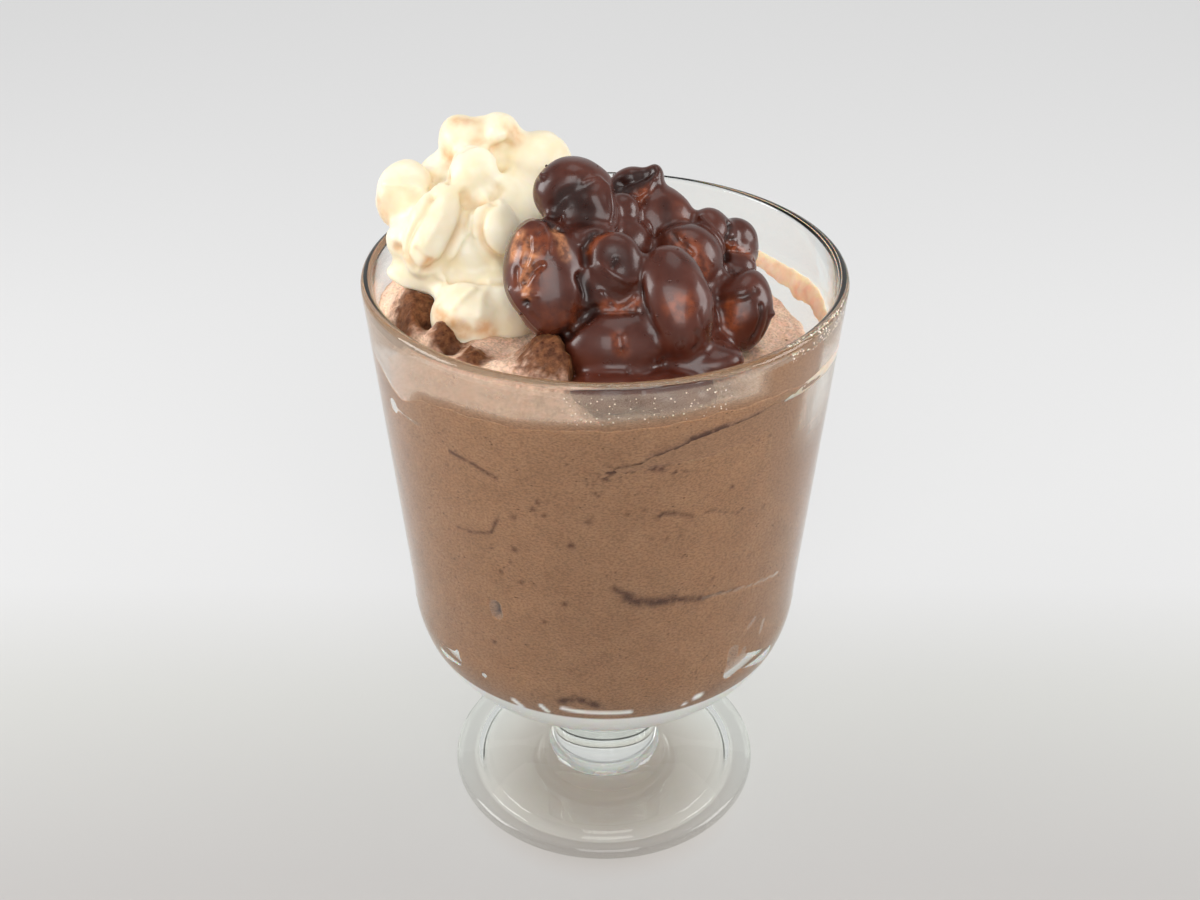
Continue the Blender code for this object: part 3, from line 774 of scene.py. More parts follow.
# %% Creases of the dark cluster
ROLLED_EDGE = ((-3.3, -11.2, 136.7), (-2, -10.3, 137), (-0.8, -9.6, 136.6), (0.2, -9.9, 135),
               (1.1, -11.7, 133.4), (1.5, -13, 131.7), (1.2, -14.5, 130.3))
DARK_STROKES = (
    (ROLLED_EDGE, 0.6, 0.5),  # the nut at the top left: its front lobe rolls over at the edge
    (((-2.9, -13.0, 138.0), (0.0, -12.5, 137.9), (1.1, -13.5, 135.0), (1.4, -14.0, 131.8),
      (0.9, -14.5, 129.7)), 0.8, 0.7),
    (((-5.8, -14.0, 134.1), (-3.6, -14.5, 132.4)), 2.6, -0.7),
    (((-3, -11.4, 136.6), (-5, -12.6, 135.5), (-7.3, -12.9, 134.3), (-8.8, -13, 132.3)), 1.5, -0.6),
    (((-10.4, -8.7, 136.3),), 0.6, 0.9),
    (((-12.2, -10, 132.6), (-10.8, -15.2, 131.9), (-9.3, -16.2, 131.9), (-8.5, -18.2, 131.2),
      (-7.2, -17.6, 130.8)), 0.8, -0.7),  # between that nut and the almond below it
    (((-14.2, -17.6, 130.3), (-12.2, -17.0, 131.6), (-9.8, -17.6, 131.4), (-9.2, -19.9, 130.3),
      (-9.3, -22.1, 128.9)), 0.6, 0.35),
    # grooves in the almond
    (((-12.3, -19.9, 130.1), (-12.2, -21.6, 128.8), (-13.0, -22.7, 127.2)), 0.5, -0.5),
    (((-10.4, -23.4, 127.3), (-11.9, -23.8, 126.2), (-13.0, -24.2, 124.5)), 0.55, -0.6),
    (((-14.3, -22.5, 125.8), (-14.2, -23.6, 123.6)), 0.6, -0.3),
    (((-12.8, -25.2, 121.4),), 0.6, -0.9),
    (((-13.2, -24.9, 122.2), (-12.1, -25.2, 122.7), (-11.1, -25.5, 122.8)), 0.4, 0.35),
    (((-15.3, -22.6, 122.4), (-13.7, -24.7, 120.0), (-12.0, -25.6, 118.2), (-10.8, -26.0, 117.2)),
      0.55, 0.45),
    (((-4.4, -22.4, 124.3), (-3.1, -22.9, 121.6), (-3.1, -23.2, 119.2), (-4.4, -25.4, 117.4),
      (-6.2, -26, 116.1)), 1.0, -1.0),  # the deep gap on its right
    (((-3.2, -20.8, 126.4), (-3.4, -18.8, 128.2), (-2.0, -17.4, 129.9), (0.4, -16.6, 130.7),
      (3.4, -15.0, 129.2)), 0.7, -0.6),
    # the flat nut
    (((-0.8, -21.8, 126.8), (1.4, -23.1, 125.3), (3.4, -23.1, 124.2), (5.0, -22.2, 123.9)), 0.4, 0.3),
    (((1.5, -21.0, 127.8), (3.0, -20.6, 126.2)), 2.2, -0.45),
    (((1.7, -21.7, 127.6), (1.1, -22.5, 126.6)), 0.4, -0.4),
    (((-0.6, -23.4, 122.1), (0.4, -23.8, 120.2), (2, -24.2, 119.6), (3.7, -24.0, 120.2),
      (5, -23.2, 121.3)), 0.6, 0.4),
    (((-0.9, -23.0, 119.4), (1.2, -24.0, 118.2), (3.2, -24.0, 118.0), (5.2, -23.6, 118.6)), 0.9, -1.1),
    (((2.8, -13.4, 129.5),), 1.2, 1.3),  # a bead in the gap
    (((2.6, -0.4, 131.6), (5.0, -0.4, 132.2), (7.0, 0.6, 133.0)), 1.7, -1.6),  # the dish at the top
    (((1.2, -1.2, 129.6), (3.2, -1.6, 129.0), (5.4, -1.8, 129.6), (7.4, -1.2, 130.8), (8.6, 0.4, 132.4)),
      0.6, 0.8),
    (((1.9, -1.5, 127.6), (4.4, -2.0, 127.6), (6.3, -2.0, 128.2)), 0.8, -0.7),
    # two soft ridges down the next nut
    (((7.6, -2.6, 129.3), (7.0, -4.8, 127.2), (6.9, -5.6, 124.8)), 0.9, 0.35),
    (((10.4, -3.2, 129.0), (10.6, -5.2, 126.6)), 1.2, -0.35),
    (((10.6, -12.0, 127.4), (12.7, -12.0, 127.6), (15.1, -12.5, 126.8), (17.0, -13.0, 125.0),
      (18.6, -12.6, 122.4)), 0.5, 0.5),
    (((11.5, -9.3, 126.3), (12.6, -11.3, 125.5), (14.4, -12.4, 124.3)), 0.6, -0.4),
    (((7.0, -15.2, 125.0), (5.9, -20.6, 124.9), (6.2, -22.8, 122.6), (7.3, -25.2, 119.7),
      (8.6, -26.9, 116.8)), 0.8, -0.8),  # left of the big nut at the front
    (((8.7, -18.8, 127.1), (10.2, -20.1, 127.2), (12.1, -21.5, 126.5), (13.7, -22.4, 125.3),
      (15.5, -22.5, 123.6), (16.4, -23.3, 122.1), (17.2, -23.6, 120.3)), 0.5, 0.45),
    (((13.0, -18.0, 124.6), (15.6, -19.0, 122.8), (17.6, -20.4, 119.8)), 0.9, -0.7),
    (((15.3, -25.6, 121.4), (14.9, -26.9, 120.2), (15.4, -27.3, 118.7)), 0.4, -0.45),
    (((16.2, -25.6, 119.2), (15.8, -27.1, 117.2), (16.0, -27.4, 115.4)), 0.45, 0.4),
    (((14.7, -28.1, 117.7), (15.2, -28.0, 115.5), (14.4, -28.6, 114.6)), 0.5, -0.45),
    # the folds
    (((16.7, -3.0, 126.4), (18.3, -5.0, 125.2), (19.7, -5.5, 123.3), (20.0, -6.0, 121.1)), 0.6, 0.6),
    (((16.4, -4.6, 123.6), (18.2, -5.6, 122.2), (19.0, -6.2, 120.2)), 0.7, -0.7),
    (((21.5, -2.0, 124.7), (20.9, -4.0, 123.2), (20.7, -5.0, 121.2), (20.8, -6.0, 119.3)), 0.7, -1.2),
    (((21.5, -4.0, 122.6), (23.7, -3.0, 122.7), (25.4, -1.8, 122.4)), 0.4, -0.6),
    (((21.7, -4.3, 121.7), (23.8, -3.6, 121.7), (25.6, -2.6, 121.2)), 0.35, 0.3),
    (((21.5, -4.5, 120.9), (23.8, -4.0, 120.7), (25.8, -3.0, 120.1)), 0.4, -0.6),
    (((21.8, -5.0, 119.4), (24.0, -5.0, 119.4), (26.2, -3.6, 118.7)), 0.4, -0.6),
    (((20.4, -6.6, 119.0), (22.4, -7.2, 118.4), (24.6, -6.8, 117.6)), 0.7, 0.4),
    (((19.2, -9.0, 115.6), (22.0, -9.5, 114.9), (24.7, -9.0, 115.3)), 1.1, -1.6),  # the gap below
    (((19.0, -9.8, 118.0), (21.6, -11.4, 117.6), (24.4, -10.6, 118.2)), 1.0, -0.9),
    (((26.2, -16.6, 116.4), (26.4, -17.1, 114.6), (25.6, -17.8, 112.1), (24.4, -18.4, 110.2)), 0.45, -0.45),
    (((27.3, -15.6, 115.2), (27.4, -16.0, 113.2), (26.6, -16.6, 110.7)), 0.4, -0.4),
    (((28.1, -14.6, 113.9),), 0.6, 0.7),
    (((19.2, -15.4, 117), (20.9, -16.1, 117.5), (23.2, -16.6, 118.0), (25.4, -15.3, 118.5)), 0.6, -0.35),
    (((2.3, -29.2, 117.3), (2.4, -29.9, 116.0)), 1.0, 0.5),  # low at the front
    # dark gaps
    (((-7.9, -24.6, 114.7), (-5.3, -25.0, 115.6), (-3.0, -24.6, 117.4), (-1.9, -23.8, 119.4)), 1.1, -1.8),
    (((-1.3, -23.4, 119.4), (0.0, -24.0, 118.3), (2.6, -24.2, 117.8), (4.5, -23.6, 118.4)), 1.0, -1.8),
    (((3.4, -31.4, 113.5),), 0.35, -0.4),
    (((4.7, -31.1, 113.5),), 0.35, -0.4),
    (((3.9, -31.4, 112.1),), 0.4, -0.4),
)
DARK_BARE = (  # the skin of the nuts, orange-brown: path, width, strength
    (((-14.0, -18.6, 130.1), (-14.6, -19.6, 128.8), (-15.0, -20.6, 127.6)), 1.2, 1.0),
    (((-12.6, -20.2, 129.8), (-13.2, -21.5, 128.2)), 0.9, 0.7),
    (((-11.4, -21.9, 128.8), (-12.2, -22.6, 127.6), (-13.1, -23.5, 126.0), (-13.2, -24.3, 124.2),
      (-12.6, -24.9, 123)), 0.95, 0.95),
    (((-8, -18.6, 130.8), (-7.2, -20, 129.6), (-6.5, -21.6, 128)), 0.95, 1.0),
)
DARK_THIN = (  # where the coat is thin and redder
    (((-11.5, -21, 129.3), (-12.6, -23.6, 125.5)), 3.4, 0.8),
    (((-9.6, -26.2, 119.6), (-5.6, -25.6, 119.0)), 2.4, 0.35),
    (((-2.6, -19.2, 128), (-1.5, -18.2, 129.4), (0.5, -17.4, 130.1)), 1.0, 0.9),
    (((0.2, -23.8, 120.2), (2, -24.3, 119.5), (4.6, -23.8, 120.6)), 1.2, 1.0),
    (((10.8, -28.0, 122.4), (13.0, -27.5, 122.8), (12.2, -28.3, 121.6)), 2.0, 1.1),
    (((12.4, -10.9, 125.8), (14.6, -12.0, 124.2), (16.0, -13.2, 121.6)), 2.0, 0.95),
    (((6.2, -1.2, 129.2), (6.9, -0.9, 130.4), (4.4, -1.4, 128.0)), 1.2, 0.9),
    (((21.2, -16.8, 116.2), (22, -17.6, 115), (21.2, -17.8, 113.6)), 1.7, 1.15),
    (((21.2, -4.0, 121.6), (23.4, -4.0, 120.6), (25.4, -3.4, 119.0)), 0.9, 1.1),
    (((16.8, -4.8, 123.4), (18.4, -5.2, 121.8)), 1.2, 0.8),
    (((12.4, -1.8, 127.2), (13.2, -2.6, 125.6)), 1.3, 0.6),
    (((2.2, -29.4, 117.0), (2.6, -30.2, 115.4)), 1.5, 0.6),
)
print(len(DARK_STROKES), "strokes,", len(DARK_BARE), "bare places and", len(DARK_THIN), "thin ones")

# %% The dark cluster
DARK_GRAIN = ((7.0, 0.65, 1), (3.6, 0.14, 1))  # broad waves, and smaller ones on them
dark = coat_nuts("dark_chocolate_cluster", DARK_NUTS, DARK_FILLING)
press(dark, DARK_STROKES, DARK_GRAIN)
mark(dark, "bare", DARK_BARE)
mark(dark, "thin", DARK_THIN)
print("dark cluster:", len(dark.data.polygons), "faces")

# %% [markdown]
# ### Dark chocolate
#
# Tempered dark chocolate sets with a glossy skin, which shows a soft sheen under a broad lamp and a hard
# point under a small one. Where it ran thin over a nut it turns red-brown, and the bare nut skin is
# orange-brown and duller.

# %% Dark chocolate: its colours
dark_chocolate, tree = new_material("dark_chocolate_tempered")
place = add(tree, "ShaderNodeTexCoord").outputs["Object"]
clouds = add(tree, "ShaderNodeTexNoise", {"Vector": place, "Scale": 1 / (6 * MM), "Detail": 4.0})
cocoa = add(tree, "ShaderNodeValToRGB", {"Fac": clouds}, ((0.36, "431B10"), (0.66, "552517")))
# Creases are darkened almost to black: painted shade
crease = add(tree, "ShaderNodeAttribute", attribute_name="crease").outputs["Fac"]
painted_crease_shade = add(tree, "ShaderNodeMath", {0: crease, 1: 0.75}, operation="MULTIPLY")
colour = add(tree, "ShaderNodeMix", {"Factor": painted_crease_shade, "A": cocoa, "B": linear("1C0906")},
             data_type="RGBA")
streaks = add(tree, "ShaderNodeTexNoise", {"Vector": place, "Scale": 1 / (1.4 * MM), "Detail": 4.0})
streaky = add(tree, "ShaderNodeMapRange", {
    "Value": streaks, "From Min": 0.36, "From Max": 0.6, "To Min": 0.15})
for name, hex_colour in (("thin", "8A4220"), ("bare", "C98558")):
    painted = add(tree, "ShaderNodeAttribute", attribute_name=name).outputs["Fac"]
    broken_up = add(tree, "ShaderNodeMath", {0: painted, 1: streaky}, operation="MULTIPLY")
    colour = add(tree, "ShaderNodeMix", {"Factor": broken_up, "A": colour, "B": linear(hex_colour)},
                 data_type="RGBA")
print("colour of the dark chocolate:", len(tree.nodes), "nodes")

# %% Dark chocolate: its finish
ripples = add(tree, "ShaderNodeTexNoise", {"Vector": place, "Scale": 1 / (1.0 * MM), "Detail": 2.0})
bump = add(tree, "ShaderNodeBump", {"Height": ripples, "Strength": 0.05, "Distance": 0.12 * MM})
haze = add(tree, "ShaderNodeTexNoise", {"Vector": place, "Scale": 1 / (3 * MM), "Detail": 2.0})
gloss = add(tree, "ShaderNodeMapRange", {
    "Value": haze, "From Min": 0.35, "From Max": 0.65, "To Min": 0.27, "To Max": 0.38})
finish = add(tree, "ShaderNodeBsdfPrincipled", {
    "Base Color": colour, "Roughness": gloss, "IOR": 1.48, "Specular IOR Level": 0.5, "Coat Weight": 0.3,
    "Coat Roughness": 0.1, "Subsurface Weight": 0.12, "Subsurface Radius": (1.6, 0.6, 0.3),
    "Subsurface Scale": 0.6 * MM, "Normal": bump})
add(tree, "ShaderNodeOutputMaterial", {"Surface": finish})
dark.data.materials.clear()
dark.data.materials.append(dark_chocolate)
print(dark_chocolate.name)

# %% [markdown]
# ## The mousse
#
# Mousse is piped or spooned in while soft, so it lies against the glass, with air pockets caught at the
# wall and torn lumps on top. The shape is a grid in rings: the round bottom, the side, and the top in to
# its middle. The rings run just into the wall, as a film of air between would turn the glass into a mirror.
# A pocket is a dent, and there the wall does turn into a mirror, just as in the real dessert.

# %% The mousse's measures
WALL_REACH = 0.12 * MM  # how far it reaches into the wall
# Height of the mousse at the wall, in mm, by the angle round the axis in degrees from +X
WALL_LINE = ((-180, 109), (-160, 105), (-147, 101.8), (-136, 105.0), (-127, 105.7), (-111, 105.9),
             (-100, 106.5), (-91, 106.8), (-78, 107.3), (-70, 107.6), (-64, 107.9), (-55, 107.5),
             (-45, 107.2), (-38, 106.2), (-29, 105.5), (-15, 103.6), (0, 103), (40, 102.5), (75, 103),
             (120, 105), (160, 108), (180, 109))
# On the right the mousse stands off the wall: middle and half width of that stretch in degrees, how far it
# is off at the top, and the heights between which it comes away
OFF_MIDDLE, OFF_HALF, OFF_DEPTH = 17, 66, 4.6 * MM
OFF_LOW, OFF_HIGH = 74 * MM, 105 * MM
# The crevice under the edge at the front, as (angle, height in mm)
CREVICE = ((-93, 98.8), (-86.4, 99.4), (-82.2, 99.9), (-78.4, 101.3), (-74.1, 102.2), (-71, 102.9),
           (-70.2, 103.3), (-67, 103.7), (-61.4, 104.4), (-56.4, 104.6), (-52.7, 104.9), (-48.2, 105.4),
           (-39.4, 105.0), (-29, 104.6))
CREVICE_LIP, CREVICE_DEPTH = 0.3 * MM, 1.0 * MM  # how sharply it begins, and how deep it is
PALE_BELOW = 41.1 * MM  # under this height the mousse at the glass is painted pale: painted light that the thick glass bottom gathers
# Lumps, ridges and hollows of the top, in mm: centre, radius, rise
LUMPS = (
    ((-34, -5), 5.5, 3.0),
    ((-35.0, -14.0), 3.4, 2.6),
    ((-30.6, -11.2), 1.7, -3.4),  # the torn crease beside the left lump
    ((-27.6, -15.6), 2.4, 2.6),
    ((-26.2, -19.8), 1.3, -1.6),
    ((-22.8, -22.4), 2.2, 1.4),
    ((-18.0, -27.5), 3.6, 1.6),
    ((-8.6, -26.0), 6.0, 8.2),
    ((5.0, -33.0), 8.0, -3.0),  # pressed down by the dark cluster
    ((30, -3), 8.0, 0.8),
    ((27, -12), 3.0, 0.9),
)
# Torn, drier places, darker than the rest and darker still as painted shade under the clusters, in mm:
# middle, radius
TORN_AND_SHADED = (((-32.5, -9.5), 6.4), ((-26.5, -18.0), 3.6), ((-22.0, -22.5), 3.0), ((-8.4, -26.5), 7.0))
TOP_LEVEL, TOP_SLOPE = 107 * MM, -0.105  # at the axis, and per mm towards +X
BOTTOM_RADIUS, BOTTOM_DEPTH = SHOULDER_RADIUS - WALL + WALL_REACH, BOWL_DEPTH - BASE_WALL + WALL_REACH
print(len(LUMPS), "lumps and hollows,", len(TORN_AND_SHADED), "torn places")

# %% The wall as angle and height
def wall_point(angle, height):
    """The point, in metres, of the glass's inner wall at an angle in degrees and a height in mm."""
    z = height * MM
    if z >= SHOULDER_HEIGHT:
        radius = inner_radius(z)
    else:
        sine = ((SHOULDER_HEIGHT - z) / (BOWL_DEPTH - BASE_WALL)) ** (1 / BOWL_BULGE[1])
        radius = (SHOULDER_RADIUS - WALL) * math.sqrt(max(1 - sine * sine, 0)) ** BOWL_BULGE[0]
    return radius * math.cos(math.radians(angle)), radius * math.sin(math.radians(angle)), z


def on_wall(points, path, width, power=2.0):
    """near_path for a path on the wall, given as (angle, height in mm); the width is in mm too."""
    return near_path(points, [wall_point(*spot) for spot in path], width * MM, power)


print("the wall at the front, half way up:", [round(v * 1000, 1) for v in wall_point(-90, 58)], "mm")

# %% Marks where the mousse touches the wall
# Air pockets, where the wall mirrors: path as (angle, height), width and depth in mm
WALL_POCKETS = (
    (((-63.2, 67.9), (-57.9, 67.7), (-50.5, 66.8), (-41.9, 65.5), (-34.9, 64.4), (-18.5, 61.2)),
      0.3, 0.4),  # the long crack
    (((-121, 65.2), (-120.8, 63.4)), 1.0, 1.0),
    (((-50.0, 46.4), (-49.8, 51.4)), 1.0, 0.9),  # the flat bubble low on the right
    (((-50.0, 46.6), (-46, 47.4), (-39.1, 45.6), (-31.6, 43.8)), 1.3, 0.9),
    (((-46.6, 48.6), (-45.2, 49.8)), 0.5, 0.6),
    (((-128.1, 46),), 0.5, 0.5),
    (((-138.9, 47.7),), 0.5, 0.5),
    (((-44.5, 55.5), (-42.4, 56.6)), 0.4, 0.5),
    (((-38.3, 51.9), (-37.4, 54.3)), 0.4, 0.5),
    (((-147, 45), (-140, 46)), 1.3, 0.7),
    (((-152.6, 98.5),), 1.1, 0.8),
    (((-152.6, 98.5), (-140, 98.9)), 0.35, 0.4),
)
# Bubbles and cracks, darkened with painted shade, as the mousse still touches the glass round them: path,
# width in mm
WALL_SPECKS = (
    (((-87.5, 73.4), (-83.3, 71.6), (-79.9, 70.1), (-74.6, 69.7), (-68.7, 69.0), (-63.2, 68.0)), 0.7),
    (((-84.2, 71.4), (-81.0, 70.0), (-77.0, 69.5), (-72.0, 69.5)), 1.15),
    (((-63.2, 68.2), (-57.9, 67.9), (-50.5, 67.0)), 0.3),
    (((-77.2, 88.5), (-75.9, 89.2), (-72.1, 88.7), (-68.6, 87.5)), 0.4),
    (((-65.2, 87.7), (-62.6, 87.9), (-60.4, 86.8), (-55.1, 85.2), (-53.5, 86.0)), 0.2),
    (((-84.7, 89.7),), 0.3),
    (((-71.2, 83.9),), 0.3),
    (((-74.8, 83.4),), 0.35),
    (((-57.9, 91.5),), 0.4),
    (((-91.5, 93.7), (-92.4, 94.3)), 0.3),
    (((-129.7, 96.8), (-123, 96.1), (-116.8, 94.6)), 0.4),
    (((-130.7, 80.3), (-125.7, 80.7), (-119.6, 82.3), (-117.4, 86)), 0.3),
    (((-121, 65.2), (-120.8, 63.4)), 0.8),
    (((-102.6, 45.5), (-98.7, 46.6), (-95.1, 46.0), (-92.7, 45.1)), 0.9),
    (((-164, 90), (-163.4, 83.4), (-159, 79.8)), 0.4),
    (((-94.2, 88.3),), 0.7),
    (((-98.5, 82.8),), 0.6),
    (((-113.4, 79.9),), 0.55),
    (((-112.9, 87),), 0.55),
    (((-105, 88.8),), 0.45),
    (((-106.4, 91.3),), 0.45),
    (((-107.7, 89.6),), 0.5),
    (((-100.5, 69.4),), 0.5),
    (((-112.2, 72.7),), 0.45),
    (((-118, 73.9),), 0.45),
    (((-106.4, 64.6),), 0.45),
    (((-122.6, 56),), 0.5),
)
PALE_SPOTS = (  # pale spots low on the wall, a painted reflection of the bright room: path, width in mm
    (((-102.5, 43.4), (-97, 43.0), (-90, 42.9), (-82.6, 42.9)), 0.6),
    (((-118.6, 42.3), (-116.8, 41.3)), 0.7),
    (((-109.4, 43.0), (-107.8, 41.7)), 0.55),
    (((-61.4, 43.3), (-60.4, 43.4)), 0.8),
    (((-65.1, 42.3),), 0.55),
)
WALL_CRUMBS = (  # crumbly painted shade of small bubbles along the crevice, broken up by a fine unevenness
    (((-92, 97.2), (-90, 98.6), (-84.5, 98.9)), 1.1),
    (((-90, 97.4), (-85, 98.2)), 0.7),
    (((-83, 99.3), (-77, 98.7), (-73, 97.3), (-68, 96.2)), 0.6),
)
# Small round bubbles in painted shade, scattered: how many, and from what to what are angle, height, width in
# mm and darkness
SPECK_COUNT, SPECK_SEED = 150, 11
SPECK_ANGLES, SPECK_HEIGHTS, SPECK_WIDTHS, SPECK_SHADES = (-175, -5), (40, 102), (0.22, 0.42), (0.3, 0.9)
print(len(WALL_POCKETS), "pockets and", len(WALL_SPECKS) + SPECK_COUNT, "specks")

# %% How far the mousse is off the wall
def by_angle(table, angles):
    """The eased value of a table of (degrees, value) at each angle; flat past its ends."""
    values = np.full(len(angles), float(table[0][1]))
    for (a, low), (b, high) in zip(table, table[1:]):
        inside = angles >= a
        values[inside] = low + (high - low) * ease((angles[inside] - a) / (b - a))
    return values


def turned(angle):
    """Degrees brought between -180 and 180."""
    return (angle + 180) % 360 - 180


def stand_off(angles):
    """0 where the mousse lies on the wall, 1 where it stands well off."""
    return ease(3 * (1 - np.abs(turned(angles - OFF_MIDDLE)) / OFF_HALF))


def side_inset(angles, heights):
    """How far the side is set in from the wall, in metres."""
    away = stand_off(angles) * np.clip((heights - OFF_LOW) / (OFF_HIGH - OFF_LOW), 0, 1) ** 2.4
    below = by_angle(CREVICE, angles) * MM - heights
    # A strip above the crevice still touches the wall
    touching = ease((-20 - angles) / 10) * ease(1 - below / CREVICE_LIP)
    # The crevice gapes between -90 and -28 degrees, and is taller towards the right
    gaping = ease((angles + 90) / 10) * ease((-28 - angles) / 8)
    tall = (1.2 + 3.5 * ease((angles + 84) / 20)) * MM
    crevice = gaping * ease(below / CREVICE_LIP) * np.clip(1 - below / tall, 0, 1) ** 0.8
    return OFF_DEPTH * away * (1 - touching) + CREVICE_DEPTH * crevice * (1 - away)


print("the side is at most", OFF_DEPTH / MM, "mm off the wall")

# %% How high the open top is
def top_height(x, y):
    """Height of the open top, away from the wall; x and y are arrays in metres."""
    height = TOP_LEVEL + TOP_SLOPE * x
    for (cx, cy), radius, rise in LUMPS:
        away = np.hypot(x / MM - cx, y / MM - cy) / radius
        height = height + rise * MM * np.exp(-(away ** 2.4))
    return height


print("the top is", round(float(top_height(0.0, 0.0)) * 1000, 1), "mm high in its middle")

# %% The mousse's columns and rings
FRONT_STEP, BACK_STEP = 0.65, 2.0  # degrees between the columns, finer where the side is seen best
columns = np.concatenate([np.arange(-180, 20, FRONT_STEP), np.arange(20.3, 150, BACK_STEP),
                          np.arange(150.3, 179.6, FRONT_STEP)])
edge_heights = by_angle(WALL_LINE, columns) * MM
edge_heights += 0.35 * MM * roughness_of([wall_point(a, 106) for a in columns], 4 * MM, 9, 2)
bottom_turns = np.concatenate([np.linspace(88, 48, 8), np.linspace(46, 1, 30)])
side_shares = np.concatenate([np.linspace(0, 0.80, 86), np.linspace(0.806, 1, 46)])
top_shares = np.concatenate([np.linspace(1, 0.72, 24)[1:], np.linspace(0.72, 0.02, 24)[1:]])
print(len(columns), "columns and", len(bottom_turns) + len(side_shares) + len(top_shares), "rings")

# %% The mousse's grid
# Where the mousse stands off the wall, its edge is rounded over this height and in by this much
EDGE_ROUNDING, EDGE_RADIUS = 2.2 * MM, 1.4 * MM
EDGE_WIDTH = 6 * MM  # how far in from the edge the open top begins


def mousse_rings():
    """The mousse as rings x columns x 3: the round bottom, the side, and the top in to its middle."""
    rings = []
    for turn in bottom_turns:
        radius, z = bowl_curve(BOTTOM_RADIUS, BOTTOM_DEPTH, turn)
        rings.append((np.full(len(columns), radius), np.full(len(columns), z)))
    for share in side_shares:
        z = SHOULDER_HEIGHT + share * (edge_heights - SHOULDER_HEIGHT)
        near_edge = ease((z - edge_heights + EDGE_ROUNDING) / EDGE_ROUNDING) ** 2
        round_off = EDGE_RADIUS * stand_off(columns) * ease((columns + 30) / 20) * near_edge
        rings.append((inner_radius(z) + WALL_REACH - side_inset(columns, z) - round_off, z))
    edge_radius = rings[-1][0]
    turns = np.radians(columns)
    for share in top_shares:
        radius = edge_radius * share
        x, y = radius * np.cos(turns), radius * np.sin(turns)
        inward = ease((edge_radius - radius) / EDGE_WIDTH)
        rings.append((radius, edge_heights + inward * (top_height(x, y) - edge_heights)))
    return np.array([[r * np.cos(turns), r * np.sin(turns), z] for r, z in rings]).transpose(0, 2, 1)


print("the mousse's grid holds", mousse_rings().size // 3, "points")

# %% [markdown]
# ### Dents and marks of the mousse
#
# What a spoon, a bubble or a crack leaves is laid over the smooth grid in two ways. Some of it moves the
# points: pockets at the wall, and a random unevenness of loose lumps. The rest is stored on the points as
# numbers between 0 and 1, which the material reads as colour. The grid is fine enough for marks of half a
# millimetre.

# %% Dark marks
def crevice_line():
    """The open part of the crevice as points in metres."""
    return [wall_point(angle, height) for angle, height in CREVICE if -88 < angle < -50]


def dark_marks(points, fine):
    """How dark each point is with painted shade in bubbles, cracks, crumbs and the crevice; fine is a fine
    unevenness.
    """
    marks = [on_wall(points, path, width) for path, width in WALL_SPECKS]
    random = np.random.default_rng(SPECK_SEED)
    for _ in range(SPECK_COUNT):
        spot = random.uniform(*SPECK_ANGLES), random.uniform(*SPECK_HEIGHTS)
        width, strength = random.uniform(*SPECK_WIDTHS), random.uniform(*SPECK_SHADES)
        marks.append(strength * on_wall(points, [spot], width))
    marks += [on_wall(points, path, width) * np.clip(6 * fine, 0, 1) for path, width in WALL_CRUMBS]
    line = crevice_line()
    marks.append(near_path(points, line, 0.42 * MM, 3.0) * np.clip(1.1 + 1.5 * fine, 0.5, 1))
    widest = [(x, y, z + 0.3 * MM) for x, y, z in line[4:8]]
    marks.append(near_path(points, widest, 0.8 * MM, 3.0))
    return np.max(marks, axis=0) * np.clip(1.0 + 0.9 * fine, 0.35, 1)


print("the open crevice has", len(crevice_line()), "points")

# %% Shade, painted pale light, wet and torn places
def crevice_shade(points):
    """The soft shade just below the crevice."""
    lowered = [(x, y, z - 1.1 * MM) for x, y, z in crevice_line()[2:]]
    return near_path(points, lowered, 1.5 * MM)


def painted_pale_light_marks(points, side):
    """Where the mousse is painted pale: painted light at the bottom, painted reflection in spots low on the
    wall; side says which points lie at the wall.
    """
    marks = [on_wall(points, path, width, 4.0) for path, width in PALE_SPOTS]
    marks.append(side * ease((PALE_BELOW - points[:, 2]) / (0.35 * MM)))
    return np.max(marks, axis=0)


def wet_and_shaded_marks(points, side):
    """Where the mousse is wet, as it lies on the glass, and in painted shade on the side; this fades out as
    it comes away.
    """
    gap = inner_radius(points[:, 2]) - np.hypot(points[:, 0], points[:, 1])
    wet_and_shaded = side * ease(1 - gap / (2.2 * MM))
    wet_and_shaded[points[:, 2] < SHOULDER_HEIGHT] = 1
    return wet_and_shaded


def torn_and_shaded_marks(points, side, fine):
    """Where the open top is torn and dry, and in painted shade under the clusters."""
    torn_and_shaded = np.zeros(len(points))
    for (x, y), radius in TORN_AND_SHADED:
        away = np.hypot(points[:, 0] / MM - x, points[:, 1] / MM - y) / radius
        torn_and_shaded = np.maximum(torn_and_shaded, ~side * ease(1.5 * (1.25 - away) + 0.5 * fine))
    return torn_and_shaded


print("helpers for the five kinds of marks ready")

# %% Dents and lumps
LOOSE_FROM, LOOSE_TO = 84 * MM, 98 * MM  # the side gets lumpy between these heights, where it is off the wall
SMOOTH_NEAR = 41 * MM  # the top is smoother at this distance from the axis, next to the wall
REACH_IN = 0.3 * MM  # how far the top still reaches into a cluster that lies on it


